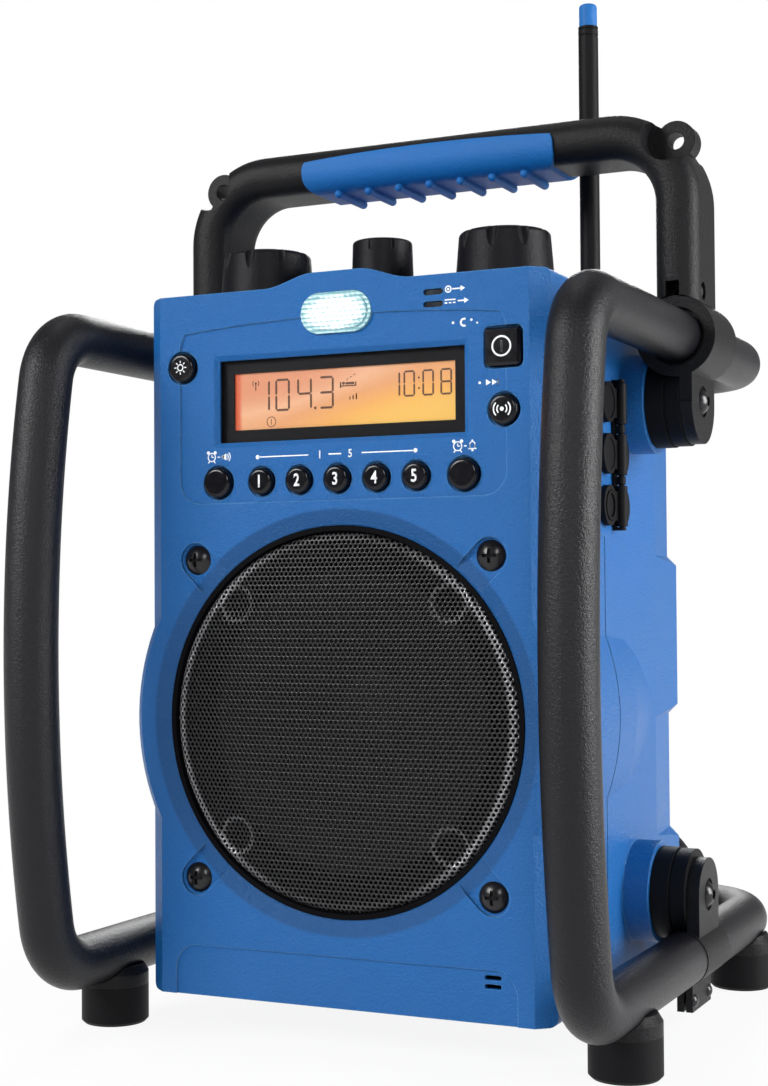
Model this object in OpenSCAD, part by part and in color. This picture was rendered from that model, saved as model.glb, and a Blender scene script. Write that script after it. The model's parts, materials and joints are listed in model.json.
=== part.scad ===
// Jobsite radio: a two-shell moulded housing hung on rubber buffers in a tubular roll cage.
// Millimetres. X runs across the front, Y from front to back, Z up.
// The origin is on the ground, at the centre of the cage's footprint.

/* [Body] */
// Width of the housing across its flat sides
body_w = 163; // [150:1:200]
// Depth of the housing from front face to back face
body_d = 157; // [140:1:200]
// Height of the housing without the hump over the lamp
body_h = 263.6; // [255:0.1:320]
// Wall thickness of the moulded shells
wall = 3; // [2.4:0.1:4]
// Width of the front face between its edge chamfers
face_w = 150; // [138:1:187]
// Depth of the chamfer along the front's upright edges
edge_depth = 5.5; // [3:0.1:8]
// Corner radius of the housing seen from the front
corner_r = 2.5; // [1:0.1:6]
// Depth of the front shell, up to the parting line
front_shell_d = 60.9; // [50:0.1:70]
// Thickness of the seal in the parting line
seal_t = 1; // [0.6:0.1:2]
// Height of the hump in the front's top edge
hump_h = 4.6; // [2:0.1:8]
// Width of the hump at its foot
hump_w = 60; // [50:1:80]
// Width of the hump's flat top
hump_top_w = 18; // [12:1:44]

/* [Speaker] */
// Height of the speaker's centre above the housing's underside
speaker_up = 103.5; // [95:0.1:130]
// Diameter of the bevelled ring round the grille, at the front face
ring_d = 155; // [130:1:160]
// Width of that ring's bevel
ring_bevel = 5.9; // [3:0.1:8]
// Depth of that ring's bevel
ring_depth = 2; // [1:0.1:2.5]
// Margin from the ring to the bulge that shrouds the speaker
bulge_margin = 6.5; // [5:0.1:10]
// How far the bulge widens behind its front edge
bulge_flare = 3; // [1:0.1:5]
// Width of the rubber seat between housing and grille
seat_w = 2; // [1:0.1:4]
// Height of the grille's dome
dome_h = 5; // [2:0.1:8]
// Thickness of the grille's sheet
grille_t = 1; // [0.6:0.1:1.6]
// Diameter of the four dimples in the grille
dimple_d = 13; // [8:0.5:16]
// Depth of those dimples
dimple_depth = 0.9; // [0.4:0.1:1.2]
// Distance of the dimples from the grille's middle
dimple_at = 61; // [50:0.5:61.5]
// Distance of the face screws beyond the speaker ring's edge
face_screw_out = 6.8; // [6:0.1:10]
// Diameter of the face screws' heads
face_head_d = 11.2; // [8:0.1:12]

/* [Front panel] */
// Half width of the sunk control panel
panel_half_w = 66.3; // [60:0.1:72]
// Height of the sunk panel, at its sides
panel_h = 64.5; // [60:0.1:70]
// Distance from the housing's top to the panel's upper corners
panel_down = 14.9; // [12:0.1:20]
// Rise of the panel's arched top edge
panel_rise = 3.3; // [0:0.1:5]
// Depth of the sunk panel
panel_depth = 0.7; // [0.3:0.1:1.2]
// Corner radius of the sunk panel
panel_r = 9; // [3:0.5:15]
// Width of the display window
window_w = 100; // [80:1:104]
// Height of the display window
window_h = 31; // [24:1:36]
// Width of the sloped rim round the display window
window_rim = 3; // [1:0.1:5]
// Distance from the housing's top to the window's centre
window_down = 41.1; // [36:0.1:46]
// Width of the display's lit area
lcd_w = 90.5; // [70:0.5:94]
// Height of the display's lit area
lcd_h = 21.3; // [16:0.1:24]
// Width of the lamp lens
lens_w = 28.5; // [20:0.5:34]
// Height of the lamp lens
lens_h = 15; // [10:0.5:17]
// Distance from the housing's top to the lens's centre
lens_down = 10.7; // [10:0.1:14]
// Play round each button in its hole
button_play = 0.3; // [0.25:0.05:0.5]
// Travel of a button
button_travel = 1.2; // [0.8:0.1:1.6]
// How far a button stands out of the sunk panel
button_proud = 2.2; // [1:0.1:4]
// Diameter of a preset button
preset_d = 10; // [8:0.5:12]
// Distance between preset buttons
preset_pitch = 15.74; // [14:0.01:17]
// Diameter of an alarm button
alarm_d = 11.5; // [9:0.5:13]
// Distance of the alarm buttons from the middle
alarm_x = 49.95; // [47:0.05:53]
// Distance from the housing's top to the row of presets
row_down = 71.55; // [70:0.05:74]
// Diameter of the lamp button and the band button
round_d = 11; // [9:0.5:13]
// Distance of the side buttons from the middle
side_button_x = 65.3; // [62:0.1:68]
// Side of the square power button
power_w = 13.4; // [11:0.1:15]
// Distance from the housing's top to the lamp and power buttons
power_down = 27.4; // [24:0.1:30]
// Distance from the housing's top to the band button
band_down = 49.4; // [46:0.1:53]

/* [Knobs] */
// Diameter of a large knob at its base
knob_d = 37.5; // [30:0.5:40]
// Height of a large knob
knob_h = 20.6; // [16:0.1:26]
// Diameter of the middle knob
small_knob_d = 24; // [18:0.5:26]
// Height of the middle knob
small_knob_h = 17; // [12:0.1:22]
// Distance of the large knobs from the middle
knob_x = 50.5; // [44:0.1:60]
// Distance of the knobs from the front face
knob_back = 40.7; // [36:0.1:44]
// Diameter of the knob shafts
shaft_d = 6; // [5:0.1:7]
// Number of finger notches in a large knob's edge
knob_notches = 9; // [6:1:12]
// Height of those notches
notch_h = 7.8; // [5:0.1:10]

/* [Cage] */
// Outer diameter of the covered tubes
tube_d = 19.86; // [18:0.02:24]
// Bore of the tubes
tube_bore = 12.4; // [10:0.1:14]
// Diameter of the swaged tube ends inside the clamps
spigot_d = 15.94; // [14.6:0.02:17]
// Distance from the housing's side to the side tubes' centre line
side_gap = 22.25; // [20:0.05:28]
// Distance from the housing's face to the hoops' foremost centre line
front_gap = 43.2; // [36:0.1:60]
// Distance from the housing's back to the rear bars' centre line
rear_gap = 45; // [40:0.1:60]
// Distance from the housing's top down to the upper tubes
top_tube_down = 15.9; // [14:0.1:20]
// Distance from the housing's underside up to the lower tubes
low_tube_up = 11.1; // [6:0.1:13]
// Radius of the hoops' bowed front, along its centre line
bow_r = 555; // [400:5:900]
// Radius of the hoops' corners, along their centre line
hoop_bend_r = 21; // [19:0.5:30]
// Radius of the rear bars' corners, along their centre line
rear_bend_r = 30; // [24:0.5:40]

/* [Clamps and buffers] */
// Distance from the housing's face to the clamps' middle
mount_back = 98; // [80:0.1:110]
// Length of a clamp along its tube
clamp_l = 32; // [26:0.5:36]
// Outer diameter of an upper clamp
clamp_d = 31; // [29:0.5:36]
// Distance from the upper tubes down to the upper mounting screws
lug_drop = 24; // [23:0.1:28]
// Distance from the lower tubes up to the lower mounting screws
lug_rise = 22.6; // [21:0.1:28]
// Width of the lug plates, which have full-round ends
lug_w = 33; // [30:0.5:36]
// Width of the lower lug plates
low_lug_w = 28; // [24:0.5:34]
// Diameter of the rubber buffers
buffer_d = 35; // [30:0.5:36]
// Thickness of the rubber buffers
buffer_t = 13.5; // [11:0.5:16]
// Diameter of the bosses on the housing's sides
boss_d = 39; // [36:0.5:40]
// Height of those bosses
boss_h = 10; // [8:0.1:12]
// Thickness of the lug plates
lug_t = 5; // [4:0.1:6]
// Diameter of the mounting screws
mount_screw_d = 6; // [5:0.5:6]
// Diameter of the mounting screws' heads
mount_head_d = 10.5; // [9:0.5:13]

/* [Feet] */
// Diameter of the feet
foot_d = 26; // [22:0.5:30]
// Height of a rubber foot
foot_h = 14.7; // [10:0.1:18]
// Thickness of a foot saddle under the tube
saddle_t = 2.3; // [1.5:0.1:4]
// Distance from the hoops' foremost centre line to the front feet
front_foot_back = 54.6; // [46:0.1:80]
// Distance from the rear bars' centre line to the rear feet
rear_foot_in = 31.4; // [31:0.1:60]

/* [Handle] */
// Height of the handle's bar above the upper tubes
handle_up = 80.2; // [70:0.1:100]
// Thickness of the handle's section
handle_t = 17.4; // [15:0.1:22]
// Depth of the handle's section, from front to back
handle_deep = 35; // [26:0.5:36]
// Corner radius of the handle's section
handle_r = 8; // [6:0.1:8.6]
// Radius of the handle's corners, along their centre line
handle_bend_r = 27.3; // [20:0.1:34]
// Outer diameter of the hanging eyelets
eyelet_d = 15.6; // [13:0.1:20]
// Diameter of the eyelets' holes
eyelet_hole_d = 6.8; // [5:0.1:9]
// Thickness of the eyelets
eyelet_t = 9; // [6:0.5:12]
// How far the eyelets' middles sit inside the handle's outer corner
eyelet_in = 0.8; // [0:0.1:4]
// Length of the soft grip
grip_l = 111; // [90:1:130]
// Thickness of the soft grip
grip_t = 1.2; // [0.8:0.1:2]
// Number of finger ribs under the grip
grip_ribs = 7; // [5:1:9]
// Distance between finger ribs
rib_pitch = 13.8; // [11:0.1:15]
// Diameter of the finger ribs
rib_d = 3.6; // [2:0.1:5]
// Length of the finger ribs, from front to back
rib_l = 27; // [14:0.5:32]

/* [Aerial] */
// Distance of the aerial from the middle
aerial_x = 55.9; // [45:0.1:60]
// Distance of the aerial from the front face
aerial_back = 124; // [120:0.5:130]
// Diameter of the flexible rod
aerial_d = 8.2; // [6:0.1:10]
// Height of the aerial's tip above the housing's top
aerial_l = 130.6; // [100:0.1:160]
// Length of the coloured tip
tip_l = 9.5; // [6:0.5:14]

/* [Sockets] */
// Diameter of a socket cover's disc
cover_d = 16; // [14:0.5:17]
// Distance between socket covers
cover_pitch = 19.5; // [19:0.1:22]
// Distance from the housing's top to the uppermost cover
cover_down = 41.9; // [40:0.1:50]
// Distance from the parting line to the covers' centre
cover_back = 1.1; // [0:0.1:4]

/* [Battery bay] */
// Diameter of a cell
cell_d = 33; // [32:0.1:34.2]
// Length of a cell
cell_l = 60; // [58:0.1:61.5]
// Play round the cells
cell_play = 1; // [0.6:0.1:2]
// Height of the battery bay's centre above the housing's underside
bay_up = 114; // [110:0.5:140]
// Diameter of the door's hinge pin
hinge_pin_d = 2.5; // [2:0.1:3]

/* [Hidden] */
$fn = 64;

// Colours
BLUE = [0.13, 0.40, 0.69];
BLACK = [0.08, 0.08, 0.09];
RUBBER = [0.12, 0.12, 0.13];
CHARCOAL = [0.20, 0.20, 0.22];
STEEL = [0.72, 0.73, 0.75];

// Fine clearances
fit = 0.04;
slip = 0.1;
play = 0.3;
eps = 0.01;

// Main stations, front to back
front_y = -(body_d + rear_gap - front_gap) / 2;
rear_y = front_y + body_d;
hoop_y = front_y - front_gap;
rear_bar_y = rear_y + rear_gap;
parting_y = front_y + front_shell_d;
inner_y = front_y + wall;
mount_y = front_y + mount_back;
clamp_y0 = mount_y - clamp_l / 2;
clamp_y1 = mount_y + clamp_l / 2;

// Main stations, bottom to top
tube_r = tube_d / 2;
low_z = foot_h + saddle_t + tube_r;
body_z0 = low_z - low_tube_up;
body_z1 = body_z0 + body_h;
high_z = body_z1 - top_tube_down;
upper_mount_z = high_z - lug_drop;
lower_mount_z = low_z + lug_rise;
speaker_z = body_z0 + speaker_up;
bar_z = high_z + handle_up;

// Main stations, middle to side
half_w = body_w / 2;
side_x = half_w + side_gap;
boss_x = half_w + boss_h;
buffer_x = boss_x + buffer_t;
lug_x = buffer_x + lug_t;

// Speaker
ring_r = ring_d / 2;
opening_r = ring_r - ring_bevel;
grille_r = opening_r - seat_w - slip;
dome_r = (pow(grille_r, 2) + pow(dome_h, 2)) / (2 * dome_h);
grille_rim_y = front_y + wall;
bulge_r = ring_r + bulge_margin + bulge_flare;
bulge_slope_y = parting_y + 24;
bulge_end_y = mount_y + 20;
face_screw_xz = (ring_r + face_screw_out) / sqrt(2);
face_pocket_r = face_head_d / 2 + 1;
face_pocket_depth = 1.6;
basket_r = ring_r + 2;
seat_t = 1.5;
basket_y = inner_y + seat_t;
basket_t = 2;

// Panel
panel_y = front_y + panel_depth;
row_z = body_z1 - row_down;
window_z = body_z1 - window_down;
lens_z = body_z1 - lens_down;
power_z = body_z1 - power_down;
band_z = body_z1 - band_down;
window_t = 1.5;
frame_t = 0.8;
lcd_t = 3;
window_y = inner_y;
lcd_y = window_y + window_t + frame_t;
board_y = lcd_y + lcd_t + 1.4;
board_t = 1.6;
flange_t = 1;
cap_round = 1.5;
rim_gap = 0.9;
board_posts = [[-62, row_z - 5], [62, row_z - 5], [-40, lens_z - 6.6], [40, lens_z - 6.6]];
slot_x = 38.8;
slot_w = 7.8;
slot_h = 2.2;
slot_z = [body_z1 - 6.2, body_z1 - 10.6];
drain_x = 59.4;
drain_w = 6.4;
drain_h = 1.7;
drain_z = [body_z0 + 16.1, body_z0 + 13];

// Top
knob_y = front_y + knob_back;
shaft_r = shaft_d / 2;
bushing_r = shaft_r + 1.5;
hump_back_y = knob_y + small_knob_d / 2 + 2;

// Clamps
barrel_r = spigot_d / 2 + 3.6;
mouth_r = tube_r + 1.1;
mouth_depth = 3;
end_round = 2;
hoop_end_y = clamp_y0 + mouth_depth - play;
tongue = [9, 16, 12];
seat_depth = 0.8;
leg_screw_z = high_z + clamp_d / 2 + 2.4;
ear_l = 26;
ear_t = 2.6;
ear_gap = 0.9;
ear_z0 = low_z - 20.4;
ear_screw_z = low_z - 16.4;
ear_screw_r = 1.5;
foot_ys = [hoop_y + front_foot_back, rear_bar_y - rear_foot_in];

// Housing screws through the back
post_x = 66;
post_r = 5;
post_zs = [body_z0 + 11.5, body_z1 - 9];
back_screw_r = 2;

// Relief of the rear corners
relief_y = rear_y - 32;
relief_in = 3.9;
relief_angle = atan2(relief_in, rear_y - relief_y);
relief_spans = [[body_z0 + 51.5, body_z0 + 99.1], [body_z0 + 165, body_z1 + 60]];

// Battery bay and its door
bay_z = body_z0 + bay_up;
bay_w = 2 * cell_l + 4 * cell_play + 2;
bay_h = 2 * cell_d + 3 * cell_play;
bay_wall = 2;
bay_depth = cell_d + 2 * cell_play;
door_w = bay_w + 2 * bay_wall + 3;
door_h = bay_h + 2 * bay_wall + 3;
door_t = wall - play;
bay_y1 = rear_y - wall;
bay_y0 = bay_y1 - bay_depth;
hinge_r = hinge_pin_d / 2 + 1.55;
hinge_y = rear_y + hinge_r + 0.4;
hinge_z = bay_z - door_h / 2 - 3.4;
hinge_knuckles = [-52, -26, 0, 26, 52];
knuckle_w = 12;
thumb_z = bay_z + door_h / 2 - 11;
thumb_r = 8;
thumb_shaft_r = 1.8;

// Sockets on the right side
cover_y = parting_y + cover_back;
cover_zs = [for (i = [0:2]) body_z1 - cover_down - i * cover_pitch];
cover_pin_r = 1.1;
barrel_y = cover_y + cover_d / 2 + 2.4;
tab_y0 = cover_y - 10;
tab_z = [cover_zs[2] - cover_d / 2 - 3.5, cover_zs[0] + cover_d / 2 + 3.5];
barrel_or = 2.2;
barrel_x = half_w + 3.4;
cover_in_x = half_w + play;
cover_out_x = half_w + 2.5;
socket_r = 3.4;

// Cord posts on the back
cord_post_x = 56;
cord_post_z = body_z0 + 24.2;
cord_disc_r = 26;
cord_stem_r = 9;
cord_stem_l = 23;
cord_disc_t = 6;

// Aerial
aerial_y = front_y + aerial_back;
aerial_r = aerial_d / 2;
aerial_base_h = 9;
aerial_top_z = body_z1 + aerial_l;

// ---------- Shared shapes ----------

// A 2D outline in X and Z, extruded from one Y to another
module plate_xz(y0, y1) {
    translate([0, y1, 0]) rotate([90, 0, 0]) linear_extrude(y1 - y0) children();
}

// A 2D outline in Y and Z, extruded from one X to another
module plate_yz(x0, x1) {
    translate([x0, 0, 0]) rotate([90, 0, 90]) linear_extrude(x1 - x0) children();
}

// A 2D profile of radius and Y, turned about an axis along Y
module revolve_y(x, z) {
    translate([x, 0, z]) rotate([-90, 0, 0]) rotate_extrude() children();
}

module rod_x(x0, x1, y, z, r) {
    translate([x0, y, z]) rotate([0, 90, 0]) cylinder(h = x1 - x0, r = r);
}

module rod_x_ring(x0, x1, y, z, outer, inner) {
    translate([x0, y, z]) rotate([0, 90, 0]) linear_extrude(x1 - x0) ring(outer, inner);
}

module rod_y(x, y0, y1, z, r) {
    translate([x, y1, z]) rotate([90, 0, 0]) cylinder(h = y1 - y0, r = r);
}

module rod_z(x, y, z0, z1, r) {
    translate([x, y, z0]) cylinder(h = z1 - z0, r = r);
}

// A cone along Y, with the radius at its front and at its back
module cone_y(x, y0, y1, z, front_r, back_r) {
    translate([x, y1, z]) rotate([90, 0, 0]) cylinder(h = y1 - y0, r1 = back_r, r2 = front_r);
}

module both_sides() {
    children();
    mirror([1, 0, 0]) children();
}

module ring(outer, inner) {
    difference() {
        circle(outer, $fn = 64);
        circle(inner, $fn = 64);
    }
}

// A rectangle with true round corners, about its centre
module rounded_rect(w, h, r) {
    square([w - 2 * r, h], center = true);
    square([w, h - 2 * r], center = true);
    for (x = [-1, 1], y = [-1, 1])
        translate([x * (w / 2 - r), y * (h / 2 - r)]) circle(r);
}

module box(x0, x1, y0, y1, z0, z1) {
    translate([x0, y0, z0]) cube([x1 - x0, y1 - y0, z1 - z0]);
}

// A domed screw head whose flat side is at the origin, standing up along Z
module domed_head(r, h) {
    ball_r = (r * r + h * h) / (2 * h);
    intersection() {
        cylinder(h = h + 1, r = r + 1);
        translate([0, 0, h - ball_r]) sphere(ball_r);
    }
}

// ---------- Housing ----------

// The housing's outline seen from the front, drawn in by inset
module elevation(inset = 0) {
    translate([0, (body_z0 + body_z1) / 2])
        rounded_rect(body_w - 2 * inset, body_h - 2 * inset, corner_r);
}

// The front shell's outer volume, or with a wall's inset its hollow
module front_volume(inset) {
    face = face_w / 2 - inset * 0.55;
    side = half_w - inset;
    y0 = front_y + inset;
    y1 = parting_y + (inset > 0 ? 1 : 0);
    edge_y = front_y + edge_depth + inset * 0.6;
    intersection() {
        plate_xz(y0, y1) elevation(inset);
        translate([0, 0, body_z0 - 1]) linear_extrude(body_h + 2)
            polygon([[-face, y0], [face, y0], [side, edge_y], [side, y1], [-side, y1], [-side, edge_y]]);
    }
    rod_y(0, y0 + bulge_flare, y1, speaker_z, bulge_r - inset);
    cone_y(0, y0, y0 + bulge_flare, speaker_z, bulge_r - bulge_flare - inset, bulge_r - inset);
}

// The height of the hump at a distance x from the middle: flat on top, and a smooth swell down each side
function hump_at(x) =
    let (t = max(0, min(1, (hump_w / 2 - abs(x)) / (hump_w / 2 - hump_top_w / 2)))) hump_h * (1 - cos(180 * t)) / 2;

module hump() {
    steps = 12;
    slope = (hump_w - hump_top_w) / 2;
    left = [for (i = [0:steps]) -hump_w / 2 + slope * i / steps];
    right = [for (i = [0:steps]) hump_top_w / 2 + slope * i / steps];
    intersection() {
        plate_xz(front_y, hump_back_y + hump_h)
            polygon([[-hump_w / 2, body_z1 - 1], for (x = concat(left, right)) [x, body_z1 + hump_at(x)],
                     [hump_w / 2, body_z1 - 1]]);
        plate_yz(-hump_w / 2, hump_w / 2)
            polygon([[front_y, body_z1 - 1], [front_y, body_z1 + hump_h], [hump_back_y, body_z1 + hump_h],
                     [hump_back_y + hump_h, body_z1], [hump_back_y + hump_h, body_z1 - 1]]);
    }
}

// The sunk control panel's outline, with an arched top
module panel_outline() {
    top = body_z1 - panel_down + panel_rise;
    arch_r = (pow(panel_half_w, 2) + pow(panel_rise, 2)) / (2 * panel_rise);
    full_h = panel_h + panel_rise;
    intersection() {
        translate([0, top - full_h / 2]) rounded_rect(2 * panel_half_w, full_h, panel_r);
        translate([0, top - arch_r]) circle(arch_r, $fn = 256);
    }
}

module window_bevel() {
    half = window_w / 2;
    tall = window_h / 2;
    y0 = front_y - eps;
    y1 = front_y + 2;
    intersection() {
        translate([0, 0, window_z - tall - 9]) linear_extrude(2 * tall + 18)
            polygon([[-half - window_rim, y0], [half + window_rim, y0], [half, y1], [-half, y1]]);
        plate_yz(-half - 9, half + 9)
            polygon([[y0, window_z - tall - window_rim], [y0, window_z + tall + window_rim],
                     [y1, window_z + tall], [y1, window_z - tall]]);
    }
}

module stadium(w, h) {
    rounded_rect(w, h, h / 2 - eps);
}

// The through hole and the dark rim of a round button
module round_button_cut(x, z, d) {
    rod_y(x, front_y - 1, inner_y + 1, z, d / 2 + button_play);
    rod_y(x, front_y - 1, panel_y + 0.9, z, d / 2 + rim_gap);
}

// A face screw's pocket, open towards the speaker, as an outline about the screw at 45 degrees
module face_pocket() {
    circle(face_pocket_r);
    translate([-face_pocket_r * 2.4, -face_pocket_r]) square([face_pocket_r * 2.4, 2 * face_pocket_r]);
}

module at_face_screws() {
    for (x = [-1, 1], z = [-1, 1])
        translate([x * face_screw_xz, 0, speaker_z + z * face_screw_xz]) children();
}

module front_cuts() {
    plate_xz(front_y - 1, panel_y) panel_outline();
    plate_xz(front_y - 1, panel_y)
        translate([0, body_z0]) rounded_rect(137.4, 37.4, panel_r);
    // Speaker opening
    cone_y(0, front_y - eps, front_y + ring_depth, speaker_z, ring_r, opening_r);
    rod_y(0, front_y, inner_y + 1, speaker_z, opening_r);
    // Display
    window_bevel();
    box(-window_w / 2, window_w / 2, front_y, inner_y + 1, window_z - window_h / 2, window_z + window_h / 2);
    // Lamp
    plate_xz(front_y - 1, inner_y + 1) translate([0, lens_z]) stadium(lens_w + 2 * slip, lens_h + 2 * slip);
    // Buttons
    for (i = [0:4]) round_button_cut((i - 2) * preset_pitch, row_z, preset_d);
    for (s = [-1, 1]) round_button_cut(s * alarm_x, row_z, alarm_d);
    round_button_cut(-side_button_x, power_z, round_d);
    round_button_cut(side_button_x, band_z, round_d);
    plate_xz(front_y - 1, inner_y + 1)
        translate([side_button_x, power_z]) rounded_rect(power_w + 2 * button_play, power_w + 2 * button_play, 2);
    plate_xz(front_y - 1, panel_y + 0.9)
        translate([side_button_x, power_z]) rounded_rect(power_w + 2 * rim_gap, power_w + 2 * rim_gap, 2.6);
    // Indicator slots and drain slots
    for (z = slot_z) plate_xz(front_y - 1, inner_y + 1) translate([slot_x, z]) stadium(slot_w, slot_h);
    for (z = drain_z) plate_xz(front_y - 1, inner_y + 1) translate([drain_x, z]) stadium(drain_w, drain_h);
    // Face screws
    for (x = [-1, 1], z = [-1, 1])
        translate([x * face_screw_xz, 0, speaker_z + z * face_screw_xz])
            plate_xz(front_y - 1, front_y + face_pocket_depth)
                rotate(x > 0 ? z * 45 : 180 - z * 45) face_pocket();
    at_face_screws() rod_y(0, front_y - 1, inner_y + 1, 0, 2.2);
    // Knob bushings through the top
    for (x = [-knob_x, 0, knob_x])
        rod_z(x, knob_y, body_z1 - wall - 1, body_z1 + hump_h + 1, bushing_r + slip);
    // Notch for the rear shell's socket tab
    socket_tab(slip);
}

// The tongue of the rear shell's right side that carries the sockets, grown by grow
module socket_tab(grow) {
    x0 = half_w - wall - (grow > 0 ? 1 : 0);
    x1 = half_w + (grow > 0 ? 1 : 0);
    plate_yz(x0, x1)
        translate([(tab_y0 + parting_y + 4) / 2, (tab_z[0] + tab_z[1]) / 2])
            rounded_rect(parting_y + 4 - tab_y0 + 2 * grow, tab_z[1] - tab_z[0] + 2 * grow, 2);
}

module front_shell() color(BLUE) {
    difference() {
        union() {
            front_volume(0);
            hump();
        }
        difference() {
            front_volume(wall);
            // Posts for the rear screws and the control board
            for (x = [-post_x, post_x], z = post_zs) rod_y(x, inner_y, parting_y - play, z, post_r);
            for (p = board_posts) rod_y(p[0], inner_y, board_y, p[1], 3.5);
        }
        front_cuts();
        for (x = [-post_x, post_x], z = post_zs) rod_y(x, parting_y - 16, parting_y + 1, z, back_screw_r + fit);
    }
}

// A rear corner's relief on the right side, moved inward by inset
module corner_relief(span, inset) {
    reach = 30;
    translate([half_w, relief_y, 0]) rotate([0, 0, relief_angle]) translate([-inset, 60, 0])
        rotate([90, 0, 0]) linear_extrude(60)
            polygon([[0, span[0]], [reach, span[0] - reach], [reach, span[1] + reach], [0, span[1]]]);
}

// The rear shell's outer volume, or with a wall's inset its hollow
module rear_volume(inset) {
    y0 = parting_y + seal_t - (inset > 0 ? 1 : 0);
    difference() {
        plate_xz(y0, rear_y - inset) elevation(inset);
        both_sides() for (span = relief_spans) corner_relief([span[0] - inset * 0.4, span[1] + inset * 0.4], inset);
    }
    cone_y(0, y0, bulge_slope_y, speaker_z, bulge_r - inset, bulge_r - inset - 0.8);
    cone_y(0, bulge_slope_y, bulge_end_y, speaker_z, bulge_r - inset - 0.8, half_w - inset - eps);
}

module at_mounts() {
    for (z = [upper_mount_z, lower_mount_z]) translate([0, mount_y, z]) children();
}

// The battery bay's tub, its walls standing in from the back
module bay_tub() {
    difference() {
        box(-door_w / 2 - 1, door_w / 2 + 1, bay_y0 - bay_wall, bay_y1 + eps,
            bay_z - door_h / 2 - 1, bay_z + door_h / 2 + 1);
        box(-door_w / 2 - 2, door_w / 2 + 2, bay_y0 - bay_wall - 1, bay_y1 - 3,
            bay_z + bay_h / 2 + bay_wall, bay_z + door_h);
        box(-door_w / 2 - 2, door_w / 2 + 2, bay_y0 - bay_wall - 1, bay_y1 - 3,
            bay_z - door_h, bay_z - bay_h / 2 - bay_wall);
        both_sides()
            box(bay_w / 2 + bay_wall, door_w, bay_y0 - bay_wall - 1, bay_y1 - 3, bay_z - door_h, bay_z + door_h);
    }
}

module hinge_knuckle(x, w) {
    rod_x(x - w / 2, x + w / 2, hinge_y, hinge_z, hinge_r);
}

module rear_shell() color(BLUE) {
    difference() {
        union() {
            difference() {
                rear_volume(0);
                difference() {
                    rear_volume(wall);
                    for (x = [-post_x, post_x], z = post_zs) rod_y(x, parting_y + seal_t + play, rear_y, z, post_r);
                    for (x = [-55, 55], z = [window_z - 46, window_z + 12]) rod_y(x, 31.6, rear_y, z, 3.5);
                    both_sides() at_mounts() rod_x(half_w - wall - 8, half_w, 0, 0, 8);
                    bay_tub();
                }
            }
            both_sides() at_mounts() rod_x(half_w - 1, boss_x, 0, 0, boss_d / 2);
            socket_tab(0);
            for (x = [-52, 0, 52]) {
                hinge_knuckle(x, knuckle_w);
                box(x - knuckle_w / 2, x + knuckle_w / 2, rear_y - 1, hinge_y, hinge_z - hinge_r, hinge_z + hinge_r - 1.2);
            }
        }
        // Door opening, bay and thumbscrew hole
        box(-door_w / 2, door_w / 2, bay_y1, rear_y + 1, bay_z - door_h / 2, bay_z + door_h / 2);
        box(-bay_w / 2, bay_w / 2, bay_y0, rear_y, bay_z - bay_h / 2, bay_z + bay_h / 2);
        rod_x(-60, 60, hinge_y, hinge_z, hinge_pin_d / 2 + slip / 2);
        // Mounting screws
        both_sides() at_mounts() rod_x(half_w - wall - 5, boss_x + 1, 0, 0, mount_screw_d / 2 + fit);
        // Rear screws, with pockets for their heads
        for (x = [-post_x, post_x], z = post_zs) {
            rod_y(x, parting_y, rear_y + 1, z, back_screw_r + slip);
            rod_y(x, rear_y - 8, rear_y + 1, z, 4.2);
        }
        // Sockets and aerial
        for (z = cover_zs) rod_x(half_w - wall - 1, half_w + 1, cover_y, z, socket_r + slip);
        rod_z(aerial_x, aerial_y, body_z1 - wall - 1, body_z1 + 1, 5 + slip);
    }
}

module shell_seal() color(RUBBER) difference() {
    plate_xz(parting_y, parting_y + seal_t) difference() {
        union() {
            elevation(0.7);
            translate([0, speaker_z]) circle(bulge_r - 0.7);
        }
        union() {
            elevation(2.4);
            translate([0, speaker_z]) circle(bulge_r - 2.4);
        }
    }
    socket_tab(slip);
}

module back_screw(x, z) {
    rod_y(x, parting_y - 14, rear_y - 8, z, back_screw_r);
    translate([x, rear_y - 8, z]) rotate([-90, 0, 0]) domed_head(3.6, 2.4);
}

module cross_slot(d, depth) {
    for (a = [0, 90]) rotate([0, 0, a]) translate([-d / 2, -0.6, 0]) cube([d, 1.2, depth]);
}

module case_screws() color(CHARCOAL) {
    at_face_screws() translate([0, front_y + face_pocket_depth, 0]) {
        rod_y(0, 0, basket_y + basket_t + 3 - front_y - face_pocket_depth, 0, 2);
        difference() {
            rotate([90, 0, 0]) domed_head(face_head_d / 2, 2.6);
            translate([0, -3, 0]) rotate([-90, 0, 0]) cross_slot(5.2, 1.8);
        }
    }
    for (x = [-post_x, post_x], z = post_zs) back_screw(x, z);
}

// ---------- Battery bay ----------

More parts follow.
